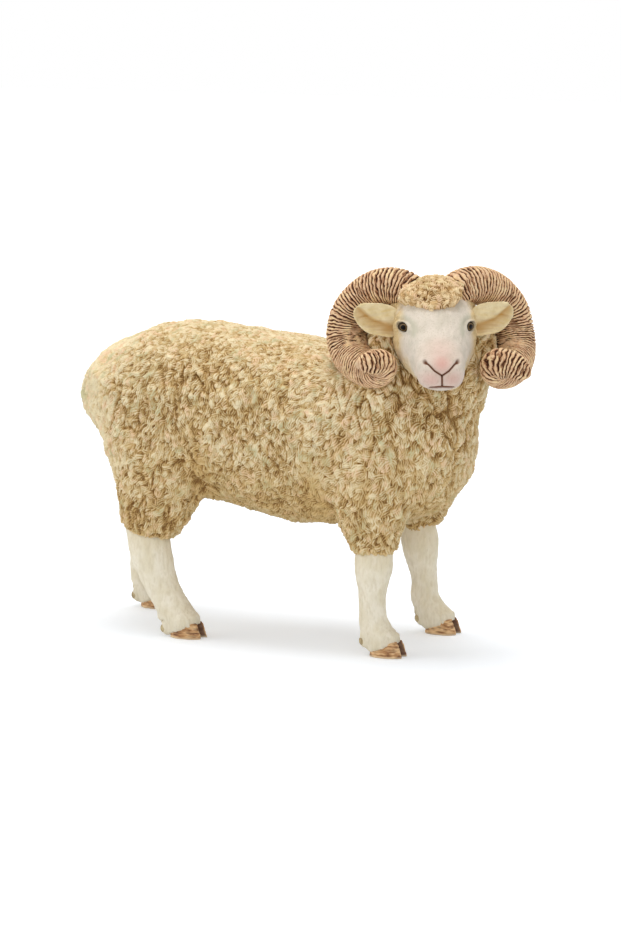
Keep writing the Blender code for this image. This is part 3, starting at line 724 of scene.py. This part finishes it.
def hornTree(material):
    # the node tree that turns the curl into a ridged horn
    tree = bpy.data.node_groups.new("ridged_horn", "GeometryNodeTree")
    face = tree.interface
    face.new_socket("Geometry", in_out="INPUT", socket_type="NodeSocketGeometry")
    for name in ("steps", "sides", "ridgePitch", "ridgeDepth", "waver", "crowding", "seed"):
        kind = "NodeSocketInt" if name in ("steps", "sides") else "NodeSocketFloat"
        face.new_socket(name, in_out="INPUT", socket_type=kind).default_value = horn.get(name, 1)
    face.new_socket("Geometry", in_out="OUTPUT", socket_type="NodeSocketGeometry")

    def noise(size, shift):
        vector = newNode(tree, "ShaderNodeVectorMath", {0: position, 1: (0, 0, shift)}, operation="ADD")
        seeded = {"Vector": vector.outputs[0], "W": given["seed"], "Scale": 1 / size, "Detail": 1.0}
        made = newNode(tree, "ShaderNodeTexNoise", seeded, noise_dimensions="4D")
        return combine(tree, "SUBTRACT", made.outputs["Fac"], 0.5)

    def grooves(pitch, wobble):
        crowded = times(tree, along, plus(tree, 1.0, times(tree, given["crowding"], share)))
        phase = plus(tree, combine(tree, "DIVIDE", crowded, pitch), wobble)
        middle = combine(tree, "SUBTRACT", combine(tree, "FRACT", phase, 0.0), 0.5)
        widened = plus(tree, combine(tree, "ABSOLUTE", middle, 0.0), times(tree, noise(1.3 * mm, 0.9), 0.32))
        widened = plus(tree, widened, times(tree, share, 0.03))
        return limited(tree, widened, 0.2, 0.49)

    given = tree.nodes.new("NodeGroupInput").outputs
    position = newNode(tree, "GeometryNodeInputPosition").outputs[0]
    evenly = {"Curve": given["Geometry"], "Count": given["steps"]}
    resampled = newNode(tree, "GeometryNodeResampleCurve", evenly)
    spline = newNode(tree, "GeometryNodeSplineParameter")
    capture = tree.nodes.new("GeometryNodeCaptureAttribute")
    capture.capture_items.new("FLOAT", "Along")
    capture.capture_items.new("FLOAT", "Share")
    tree.links.new(resampled.outputs[0], capture.inputs["Geometry"])
    tree.links.new(spline.outputs["Length"], capture.inputs["Along"])
    tree.links.new(spline.outputs["Factor"], capture.inputs["Share"])
    ring = newNode(tree, "GeometryNodeCurvePrimitiveCircle", {"Resolution": given["sides"], "Radius": 1.0})
    tube = newNode(tree, "GeometryNodeCurveToMesh", {
        "Curve": capture.outputs["Geometry"], "Profile Curve": ring.outputs["Curve"],
        "Scale": newNode(tree, "GeometryNodeInputRadius").outputs[0], "Fill Caps": True})
    along, share = capture.outputs["Along"], capture.outputs["Share"]
    wobble = plus(tree, times(tree, noise(2.4 * mm, 0.0), 1.5), noise(0.9 * mm, 0.1))
    wobble = times(tree, given["waver"], wobble)
    # main grooves, with finer ones that fork off here and there
    main = grooves(given["ridgePitch"], wobble)
    fork = grooves(times(tree, given["ridgePitch"], 0.58), times(tree, wobble, 1.6))
    forked = times(tree, fork, limited(tree, noise(1.8 * mm, 0.3), 0.0, 0.18))
    groove = combine(tree, "MAXIMUM", main, times(tree, forked, 0.75))
    groove = times(tree, groove, limited(tree, share, 1.0, 0.97))
    lumps = plus(tree, times(tree, noise(0.7 * mm, 0.5), 0.5), times(tree, noise(0.3 * mm, 0.7), 0.3))
    rise = combine(tree, "SUBTRACT", plus(tree, 0.42, lumps), groove)
    lift = times(tree, given["ridgeDepth"], rise)
    normal = newNode(tree, "GeometryNodeInputNormal").outputs[0]
    offset = newNode(tree, "ShaderNodeVectorMath", {0: normal, "Scale": lift}, operation="SCALE").outputs[0]
    moved = {"Geometry": tube.outputs[0], "Offset": offset}
    shaped = newNode(tree, "GeometryNodeSetPosition", moved).outputs[0]
    for name, value in (("groove", groove), ("share", share)):
        stored = {"Geometry": shaped, "Name": name, "Value": value}
        shaped = newNode(tree, "GeometryNodeStoreNamedAttribute", stored).outputs[0]
    whole = newNode(tree, "GeometryNodeRealizeInstances", {"Geometry": shaped}).outputs[0]
    painted = newNode(tree, "GeometryNodeSetMaterial", {"Geometry": whole, "Material": material}).outputs[0]
    tree.links.new(painted, tree.nodes.new("NodeGroupOutput").inputs[0])
    return tree


def hornMaterial():
    tones = horn["tones"]
    material, tree, shader = newMaterial("horn_paint", 0.7, 0.15)
    groove, share = attributeOf(tree, "groove"), attributeOf(tree, "share")
    colour = ramp(tree, noiseOf(tree, 1.6 * mm),
                  (0.3, tones["brown"]), (0.5, tones["tan"]), (0.68, tones["straw"]))
    worn = ramp(tree, noiseOf(tree, 0.5 * mm), (0.35, (0.0, 0.0, 0.0)), (0.65, (1.0, 1.0, 1.0)))
    colour = tint(tree, colour, worn, tones["worn"], 0.45)
    # the grooves darken to brown, then to near black: the paint's brown in them with painted shade
    depth = plus(tree, groove, grainOf(tree, 0.4 * mm, 2.0))
    colour = tint(tree, colour, limited(tree, depth, 0.04, 0.5), tones["grooveBrownAndShade"])
    colour = tint(tree, colour, limited(tree, depth, 0.34, 0.78), tones["groove"])
    colour = tint(tree, colour, limited(tree, share, 0.975, 1.0), tones["tip"], 0.7)
    linkPaint(tree, shader, colour, (0.18 * mm, 2.0), 0.05 * mm, 0.7)
    return material


def makeHorns():
    material = hornMaterial()
    tree = hornTree(material)
    sockets = {item.name: item.identifier for item in tree.interface.items_tree if item.in_out == "INPUT"}
    made = []
    for word in sideSigns:
        path = hornPath(word)
        ridges = path.modifiers.new("ridges", "NODES")
        ridges.node_group = tree
        ridges[sockets["seed"]] = horn["seeds"][word]
        mesh = mended(evaluatedMesh(path))
        bpy.data.objects.remove(path)
        made.append(finishPiece("ridged_horn_" + word, mesh, material, ["horn_" + word]))
    return made


# Head: skin with eyelids, nostrils, mouth and fine hair, and a soft blush on the nose.
# Places on it are in millimetres: forward, outward and up, or outward and up

head = {
    "detail": (0.38 * mm, 7),
    "muzzleTurn": -0.058,
    # fillers for the seats of an eye, a horn and an ear
    "plugs": (((4.9, 5.6, 0.1), (1.7, 1.7, 1.7)), ((-2, 3.9, 4.6), (3.1, 3.1, 2.9)),
              ((0.3, 6.6, 0.7), (1.4, 1.3, 3.4))),
    "eye": (5.75, 6.0, 0.28),
    "eyeFacing": (0.62, 0.785, 0.0),
    "opening": (1.82, 0.84),
    "openingSlant": 0.16,
    "chin": -9.8,
    # the muzzle's part with extra faces for the nostrils and the mouth
    "refined": ((12.0, -4.6, -11.2), (30.0, 4.6, -4.0)),
    "wool": (1.0 * mm, 0.7 * mm, 0.4 * mm, 0.85 * mm, 0.46 * mm),
    "woolSpread": (8, 0.8),  # the seed of the draws, and how far the tufts turn
    "nostril": ((3.15, -5.0), (2.55, -5.35), (1.4, -6.5), (0.0, -7.4)),
    "philtrum": ((0.0, -7.4), (0.05, -9.65)),
    "mouth": ((-2.15, -9.85), (-1.0, -9.7), (0.0, -9.65), (1.1, -9.7), (2.3, -9.85)),
    # swellings of the lips, the chin and the nose, and the blushes: strength, middle and half size
    "swellings": ((0.22, (1.7, -8.5), (1.3, 1.1)), (0.2, (0.0, -10.7), (2.0, 0.6)),
                  (0.15, (0.0, -5.2), (1.6, 1.5))),
    "blushes": ((0.76, (0.0, -5.3), (1.9, 1.9)), (0.36, (0.0, -4.0), (3.0, 3.2)),
                (0.54, (2.0, -8.2), (2.3, 1.7))),
    "paint": {
        "finish": (0.62, 0.3), "noise": (2.4 * mm,),
        "ramp": ((0.35, (0.63, 0.56, 0.455)), (0.62, (0.73, 0.64, 0.535))),
        "layers": (((0.5, 0.42, 0.3), 0.5, (0.3 * mm, 3.0, (1.0, 1.0, 0.45)), 0.5, 0.7),
                   ((0.5, 0.47, 0.35), 1, "painted_shade"), ((0.76, 0.58, 0.3), 1, "warm"),
                   ((0.68, 0.34, 0.28), 1, "blush"), ((0.56, 0.38, 0.17), 1, "groove"),
                   ((0.34, 0.28, 0.2), 1, "shade"), ((0.15, 0.052, 0.022), 1, "line")),
        "bumps": ((0.26 * mm, 3.0, (1.0, 1.0, 0.4)), 0.1 * mm, 0.6),
    },
}


def lineDistance(across, up, line):
    # distance of each point to a line of short straight runs, and how far along it that is
    best = np.full(len(across), 1e9)
    share = np.zeros(len(across))
    for i, ((ax, az), (bx, bz)) in enumerate(zip(line, line[1:])):
        dx, dz = bx - ax, bz - az
        t = np.clip(((across - ax) * dx + (up - az) * dz) / (dx * dx + dz * dz), 0, 1)
        gap = np.hypot(across - ax - t * dx, up - az - t * dz)
        share = np.where(gap < best, (i + t) / (len(line) - 1), share)
        best = np.minimum(best, gap)
    return best, share


def headSkin():
    plugs = [headPlug(place, radii, sign) for sign in (-1, 1) for place, radii in head["plugs"]]
    mesh = fineSkin("head", head["detail"], plugs)[0]
    build = bmesh.new()
    build.from_mesh(mesh)
    lowest, highest = head["refined"]
    muzzle = [vertex for vertex in build.verts
              if all(a < b < c for a, b, c in zip(lowest, inHead(np.array(vertex.co)) / mm, highest))]
    edges = {edge for vertex in muzzle for edge in vertex.link_edges}
    bmesh.ops.subdivide_edges(build, edges=list(edges), cuts=1, use_grid_fill=True)
    build.to_mesh(mesh)
    build.free()
    return mesh, *meshArrays(mesh)


def carveMuzzle(left, up, front, painted):
    # presses the nostrils and the mouth in, and returns how far the skin moves out
    outward = np.zeros(len(left))
    slits = []
    for sign in (-1, 1):
        gap, share = lineDistance(sign * left, up, head["nostril"])
        slits.append((gap, 0.38 - 0.2 * ease(0.0, 0.28, share), 0.42 - 0.12 * share))
        outward += 0.1 * bell(gap, 0.75, 0.4) * front * (1 - share)
    for name, width, depth in (("philtrum", 0.19, 0.24), ("mouth", 0.26, 0.3)):
        slits.append((lineDistance(left, up, head[name])[0], width, depth))
    for gap, width, depth in slits:
        slit = (1 - ease(width * 0.4, width * 1.5, gap)) * front
        outward -= depth * slit
        painted["line"] = np.maximum(painted["line"], slit)
    for lift, middle, half in head["swellings"]:
        outward += lift * spot(np.abs(left), up, middle, half) * front
    blushes = [share * spot(np.abs(left), up, middle, half) for share, middle, half in head["blushes"]]
    painted["blush"] = np.max(blushes, axis=0) * front
    return outward


def carveEyelids(local, painted):
    # returns how far the lids stand out, and how deep the sockets are dished
    outward = np.zeros(len(local))
    opened = np.zeros(local.shape)
    for sign in (-1, 1):
        away = local - np.array(head["eye"]) * (1, sign, 1)
        out = np.array(head["eyeFacing"]) * (1, sign, 1)
        a = away @ (np.array((-out[1], out[0], 0.0)) * sign)
        b = away[:, 2] - head["openingSlant"] * a
        ring = np.hypot(a / head["opening"][0], b / head["opening"][1])
        depth = away @ out
        near = (depth > -0.4) & (ring < 4)
        outward += np.where(near, 0.24 * bell(ring, 1.22, 0.2) - 0.12 * bell(ring, 1.7, 0.3), 0)
        hollow = np.where(near, (depth + 0.3) * (1 - ease(0.9, 1.08, ring)), 0)
        opened -= hollow[:, None] * np.array(headTurn @ Vector(out))
        # painted shade above and around each eye
        above = 0.75 * bell(ring, 2.1, 0.7) * ease(-0.3, 1.0, b + 0.3 * np.abs(a))
        painted["shade"] = np.maximum(painted["shade"], np.where(near, bell(ring, 1.02, 0.17) * 0.6, 0))
        painted["painted_shade"] = np.maximum(painted["painted_shade"], np.where(near, above, 0))
    return outward, opened


def makeHead():
    mesh, points, normals = headSkin()
    local = inHead(points) / mm
    forward, left, up = local.T
    aside = np.abs(left)
    front = ease(12.0, 14.5, forward)
    painted = {word: np.zeros(len(points)) for word in ("line", "shade")}
    # painted shadow along the crown's lower edge on the forehead, and under the chin
    painted["painted_shade"] = 0.5 * bell(up, 5.2, 1.3) * ease(3, 5, forward) * (aside < 7)
    painted["painted_shade"] = np.maximum(painted["painted_shade"], 0.5 * ease(-10.0, -10.9, up) * front)
    outward = carveMuzzle(left, up, front, painted)
    lids, opened = carveEyelids(local, painted)
    hair = cloud(local, (1.5, 0.34, 1.3), 41) + 0.6 * cloud(local, (0.9, 0.22, 0.8), 42)
    outward += lids + 0.06 * hair * (1 - 0.9 * front)
    # woolly cheeks and jaw, which run into the fleece
    cheeks = ease(6.3, 8.0, aside + 0.4 * cloud(local, 1.2, 43)) * (1 - ease(5, 8, forward))
    jaw = ease(-4.5, -8.0, up + 0.5 * cloud(local, 1.2, 44)) * (1 - ease(8.5, 11, forward))
    woolly = np.max([cheeks, jaw, ease(1.5, -0.5, forward)], axis=0)
    flow = np.tile(np.array(headTurn) @ (0.2, 0.0, -1.0), (len(points), 1))
    relief, base, owned = tuftRelief(points, normals, head["wool"], flow, *head["woolSpread"])
    outward += woolly * (relief / mm - 0.1)
    moved = points + normals * (outward * mm)[:, None] + opened * mm
    moved += np.array(headLeft) * (head["muzzleTurn"] * np.clip(forward, 0, 30) * mm)[:, None]
    # the chin is drawn up
    moved[:, 2] += 0.4 * np.clip(head["chin"] - up, 0, 9) * ease(6, 10, forward) * mm
    setPoints(mesh, moved)
    warm = 0.55 * ease(5.8, 8.6, aside) * (1 - ease(6, 14, forward)) + 0.8 * woolly
    # darker in the creases of the woolly cheeks and jaw: the paint's wash with painted shade
    groove = woolly * np.clip(owned["groove"] * 0.7 + 0.5 * (1 - base / (0.3 * mm)), 0, 1)
    storeValues(mesh, warm=np.clip(warm, 0, 1), groove=np.clip(groove, 0, 1), **painted)
    finishPiece("face", mesh, paintOf("skin_paint", head["paint"]), ["head"])


# Eyes: a brown ring round a dark pupil, under gloss

eye = {
    "radii": (1.98 * mm, 1.04 * mm, 1.05 * mm), "rows": 40,
    "pupilAhead": 0.24 * mm, "pupilLength": 1.3,
    "paint": {
        "finish": (0.12, 0.05), "noise": (0.25 * mm,),
        "ramp": ((0.3, (0.1, 0.06, 0.026)), (0.7, (0.25, 0.16, 0.07))),
        # the rim of the iris, then the pupil
        "layers": (((0.035, 0.022, 0.012), 1, "ring", 0.62, 0.76),
                   ((0.004, 0.002, 0.001), 1, "ring", 0.6, 0.42)),
        "bumps": (),
    },
}


def makeEyes():
    material = paintOf("eye_gloss", eye["paint"])
    for word, sign in sideSigns.items():
        forward, left, up = head["eye"]
        centre = onHead(forward * mm, (sign * left + head["muzzleTurn"] * forward) * mm, up * mm)
        facing = Vector(head["eyeFacing"])
        out = headTurn @ Vector((facing.x, sign * facing.y, facing.z)).normalized()
        ahead = zAxis.cross(out) * -sign
        turn = Matrix((ahead, zAxis, out)).transposed().to_4x4()
        build = bmesh.new()
        bmesh.ops.create_uvsphere(build, u_segments=eye["rows"], v_segments=eye["rows"] // 2, radius=1,
                                  matrix=Matrix.Diagonal((*eye["radii"], 1)))
        mesh = bpy.data.meshes.new("eye")
        build.to_mesh(mesh)
        build.free()
        points, _ = meshArrays(mesh)
        ring = np.hypot((points[:, 0] - eye["pupilAhead"]) / eye["pupilLength"], points[:, 1])
        storeValues(mesh, ring=np.where(points[:, 2] < 0, 9, ring / mm))
        mesh.transform(Matrix.Translation(centre) @ turn)
        finishPiece("glossy_eye_" + word, mended(mesh), material, ["eye_" + word])


# Ears: leaves with a hollowed front and a soft rim

ear = {
    "detail": (0.25 * mm, 4),
    "reach": 15.8, "lobe": 0.32, "hollow": 0.38, "strokes": 0.05, "trim": 0.2,
    # a fold runs from the tip down to the root: a lobe above it, a cup below it
    "fold": ((0.4, -0.25), (0.55, -0.2), (0.62, -0.15), (0.78, 0.12), (0.94, 0.66), (1.0, 0.9)),
    "paint": {
        "finish": (0.7, 0.25), "noise": (1.2 * mm,),
        "ramp": ((0.35, (0.74, 0.57, 0.27)), (0.65, (0.88, 0.73, 0.43))),
        "layers": (((0.84, 0.75, 0.54), 0.45, "strokes"), ((0.52, 0.29, 0.085), 1, "inner"),
                   ((0.52, 0.38, 0.18), 0.3, (0.3 * mm,), 0.55, 0.75)),
        "bumps": ((0.25 * mm,), 0.08 * mm, 0.6),
    },
}


def makeEars():
    material = paintOf("ear_paint", ear["paint"])
    outs, rises = zip(*ear["fold"])
    made = []
    for word, sign in sideSigns.items():
        mesh, points, normals = fineSkin("ear_" + word, ear["detail"])
        forward, left, up = inHead(points).T / mm
        facing = ease(0.25, 0.6, (normals @ np.array(headTurn))[:, 0])
        out = sign * left / ear["reach"]
        rise = (up - 1.0 - 0.6 * ease(0.7, 1.0, out)) / 3.3
        under = rise - np.interp(out, outs, rises)
        within = ease(1.03, 0.9, out) * facing
        lobe = ease(-0.2, 0.2, under) * ease(0.75, 0.25, under) * within
        cup = ease(0.14, -0.26, under) * ease(-1.3, -0.5, under) * within
        strokes = cloud(np.stack([up * 3.0 + out * 6, out * 5, forward], axis=1), 1.0, 51) * facing
        height = ear["lobe"] * lobe - ear["hollow"] * cup + ear["strokes"] * strokes
        moved = points + normals * (height * mm)[:, None]
        moved[:, 2] += ear["trim"] * np.clip(1.2 - up, 0, 9) * ease(0.45, 0.75, out) * mm
        setPoints(mesh, moved)
        # darker ochre in the cup just under the fold: painted shadow of the fold over the ear's ochre inside
        inner = cup * np.exp(-np.abs(under + 0.15) / 0.4) + 0.3 * np.maximum(0, strokes) * (cup + 0.5 * lobe)
        storeValues(mesh, inner=np.clip(inner, 0, 1), strokes=np.clip(0.5 + 0.5 * strokes, 0, 1))
        made.append(finishPiece("leaf_ear_" + word, mesh, material, ["ear_" + word]))
    return made


# Legs, hooves and dewclaws

leg = {
    "detail": (0.38 * mm, 4),
    "hairLift": 0.06 * mm, "regain": 0.13 * mm, "reachDown": 1.1 * mm,
    "toeSlant": 0.26, "toeReach": 0.5,
    "frontShift": 0.35 * mm,
    # the filler for the seat of a dewclaw: ahead and up of it, and radii, in millimetres
    "spurPlug": ((0.75, 0, 0.95), (1.25, 0.72, 1.25)),
    "paint": {
        "finish": (0.66, 0.28), "noise": (3.0 * mm,),
        "ramp": ((0.35, (0.8, 0.71, 0.52)), (0.65, (0.9, 0.82, 0.66))),
        "layers": (((0.68, 0.59, 0.41), 0.4, (0.3 * mm, 3.0, (1.0, 1.0, 0.35)), 0.5, 0.75),
                   ((0.62, 0.52, 0.34), 0.28, "wash"), ((0.7, 0.58, 0.36), 1, "warm")),
        "bumps": ((0.28 * mm, 3.0, (1.0, 1.0, 0.3)), 0.1 * mm, 0.6),
    },
}
claw = {
    "detail": (0.24 * mm, 2),
    "streakLift": 0.06 * mm, "regain": 0.06 * mm,
    # above this height the hoof is pressed down, so that the skin covers its top
    "pressFrom": 2.5 * mm, "press": 0.42,
    "paint": {
        "finish": (0.5, 0.4), "noise": (0.9 * mm, 4.0, (0.35, 0.9, 1.8)),
        "ramp": ((0.34, (0.2, 0.078, 0.026)), (0.44, (0.5, 0.25, 0.095)), (0.6, (0.8, 0.53, 0.27))),
        "layers": (((0.1, 0.038, 0.016), 1, "wash"), ((0.8, 0.66, 0.46), 0.7, "rim")),
        "bumps": ((0.9 * mm, 4.0, (0.35, 0.9, 1.8)), 0.15 * mm, 0.6),
    },
}
dewclaw = {
    "detail": (0.22 * mm, 2), "regain": 0.1 * mm,
    "paint": {
        "finish": (0.55, 0.35), "noise": (0.8 * mm,),
        "ramp": ((0.35, (0.36, 0.26, 0.13)), (0.65, (0.62, 0.5, 0.28))),
        "layers": (), "bumps": ((0.3 * mm, 2.0), 0.05 * mm, 0.6),
    },
}


def slantToe(points, toe):
    # leans the front wall of the hoof, and the skin just above it, back from the toe
    height = points[:, 2] / mm
    share = ease(toe.x - 4.5 * mm, toe.x, points[:, 0])
    back = leg["toeSlant"] * np.minimum(height, 3.9) - leg["toeReach"]
    moved = points.copy()
    moved[:, 0] -= back * share * (1 - ease(4, 8, height)) * mm
    return moved


def makeShin(place, toe, material):
    ahead, radii = leg["spurPlug"]
    plugs = []
    for label in ("inner", "outer"):
        middle = nodeCentre(f"{place}_dewclaw_{label}") + Vector(ahead) * mm
        plugs.append((Matrix.Translation(middle), radii))
    mesh, points, normals = fineSkin(place + "_leg", leg["detail"], plugs)
    hair = cloud(points, (0.36 * mm, 0.36 * mm, 1.3 * mm), 61)
    hair += 0.6 * cloud(points, (0.28 * mm, 0.28 * mm, 0.8 * mm), 62)
    moved = points + normals * (leg["regain"] + leg["hairLift"] * hair)[:, None]
    z = points[:, 2] / mm
    moved[:, 2] -= leg["reachDown"] * ease(-0.15, -0.6, normals[:, 2]) * (z < 5)
    if place.startswith("front"):
        moved[:, 0] -= leg["frontShift"] * bell(z, 13, 7)
    setPoints(mesh, slantToe(moved, toe))
    # darker beige in the low grooves of the hair: the paint's wash with painted shade
    storeValues(mesh, wash=np.clip(-hair, 0, 1), warm=0.3 * ease(15, 21, z))
    finishPiece(place + "_shin", mesh, material, [place + "_leg"])


def makeClaw(place, label, other, toe, seed, material):
    node = f"{place}_hoof_{label}"
    mesh, points, normals = fineSkin(node, claw["detail"])
    streaks = cloud(points, (1.3 * mm, 0.9 * mm, 0.32 * mm), seed)
    moved = points + normals * (claw["regain"] + claw["streakLift"] * streaks)[:, None]
    moved[:, 2] = np.maximum(moved[:, 2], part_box(node)[0].z)
    moved[:, 2] -= claw["press"] * np.maximum(moved[:, 2] - claw["pressFrom"], 0)
    setPoints(mesh, slantToe(moved, toe))
    # painted shade in the cleft between the two claws, with the hoof's own dark streaks
    toOther = nodeCentre(f"{place}_hoof_{other}") - nodeCentre(node)
    cleft = ease(0.35, 0.75, normals[:, 1] * math.copysign(1, toOther.y))
    wash = np.maximum(np.clip(-streaks - 0.3, 0, 1) * 0.6, cleft * 0.9)
    storeValues(mesh, wash=wash, rim=1 - ease(0.15, 0.5, points[:, 2] / mm))
    finishPiece(f"{place}_claw_{label}", mesh, material, [node])


def makeLegs():
    skinPaint = paintOf("leg_paint", leg["paint"])
    hoofPaint = paintOf("hoof_paint", claw["paint"])
    dewclawPaint = paintOf("dewclaw_paint", dewclaw["paint"])
    for order, place in enumerate(legPlaces):
        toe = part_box(f"{place}_hoof_outer")[1]
        makeShin(place, toe, skinPaint)
        for label, other in (("inner", "outer"), ("outer", "inner")):
            makeClaw(place, label, other, toe, 71 + order, hoofPaint)
            node = f"{place}_dewclaw_{label}"
            mesh, points, normals = fineSkin(node, dewclaw["detail"])
            setPoints(mesh, points + normals * dewclaw["regain"])
            finishPiece(f"{place}_spur_{label}", mesh, dewclawPaint, [node])


# Camera, floor and light

view = {
    "target": (-1.76 * mm, 8.67 * mm, 34.13 * mm),
    "azimuth": math.radians(26),
    "elevation": math.radians(9),
    "distance": 700 * mm,
    "lens": 132.2,
}

studio = {
    "floorSize": 4.0,
    "floorColour": (0.79, 0.83, 0.88),
    # how far the paper is brightened near the figure, and more so away from it
    "lift": 0.31, "farLift": 0.3, "farReach": (0.2, 0.7),
    "fill": 0.6,
    # power, size and place of the lights
    "overhead": (7.2, 0.65, (-0.04, 0.1, 1.2)),
    "front": (3.2, 0.9, (0.75, -1.15, 0.42)),
    "side": (3.8, 0.9, (-1.1, -0.4, 0.5)),
}


def makeView():
    a, e = view["azimuth"], view["elevation"]
    back = Vector((math.sin(a) * math.cos(e), -math.cos(a) * math.cos(e), math.sin(e)))
    right = Vector((math.cos(a), math.sin(a), 0))
    turn = Matrix((right, back.cross(right), back)).transposed()
    camera = linkNew("camera", bpy.data.cameras.new("camera"))
    camera.data.lens = view["lens"]
    camera.matrix_world = Matrix.Translation(Vector(view["target"]) + back * view["distance"]) @ turn.to_4x4()
    bpy.context.scene.camera = camera
    bpy.context.scene.view_settings.view_transform = "Standard"


def seenDirectly(tree):
    # 1 for what the camera sees itself or in a gloss or through glass
    path = newNode(tree, "ShaderNodeLightPath")
    seen = combine(tree, "MAXIMUM", path.outputs["Is Camera Ray"], path.outputs["Is Glossy Ray"])
    return combine(tree, "MAXIMUM", seen, path.outputs["Is Transmission Ray"])


def makeStudio():
    size = studio["floorSize"] / 2
    mesh = bpy.data.meshes.new("floor")
    mesh.from_pydata([(-size, -size, 0), (size, -size, 0), (size, size, 0), (-size, size, 0)], [],
                     [(0, 1, 2, 3)])
    material, tree, shader = newMaterial("floor_paper", 0.9, 0.1)
    shader.inputs["Base Color"].default_value = (*studio["floorColour"], 1)
    shader.inputs["Emission Color"].default_value = (1, 1, 1, 1)
    # the paper brightens away from the figure, where the lamps fall off
    place = newNode(tree, "ShaderNodeTexCoord").outputs["Object"]
    reach = newNode(tree, "ShaderNodeVectorMath", {0: place}, operation="LENGTH").outputs["Value"]
    far = times(tree, limited(tree, reach, *studio["farReach"]), studio["farLift"])
    strength = times(tree, seenDirectly(tree), plus(tree, far, studio["lift"]))
    tree.links.new(strength, shader.inputs["Emission Strength"])
    mesh.materials.append(material)
    linkNew("floor", mesh)
    world = bpy.data.worlds.new("studio")
    world.use_nodes = True
    bpy.context.scene.world = world
    tree = world.node_tree
    backdrop = tree.nodes["Background"]
    backdrop.inputs["Color"].default_value = (1, 1, 1, 1)
    strength = plus(tree, times(tree, seenDirectly(tree), 1 - studio["fill"]), studio["fill"])
    tree.links.new(strength, backdrop.inputs["Strength"])
    for name in ("overhead", "front", "side"):
        power, width, place = studio[name]
        lamp = linkNew(name, bpy.data.lights.new(name, "AREA"))
        lamp.data.size = width
        lamp.data.energy = power
        lamp.location = place
        aim = Vector(view["target"]) - lamp.location
        lamp.rotation_euler = aim.to_track_quat("-Z", "Y").to_euler()


makeView()
makeStudio()
print("studio ready")
horns = makeHorns()
print("horns made")
makeHead()
makeEyes()
ears = makeEars()
print("head made")
makeLegs()
print("legs made")
makeFleece(horns + ears)
print("fleece made")
makeWoolPiece("crown_wool", "crown_curls", crown, [headPlug(*crown["plug"])], crownSeat)
makeWoolPiece("tail", "tail_wool", tail)
print("crown and tail made")
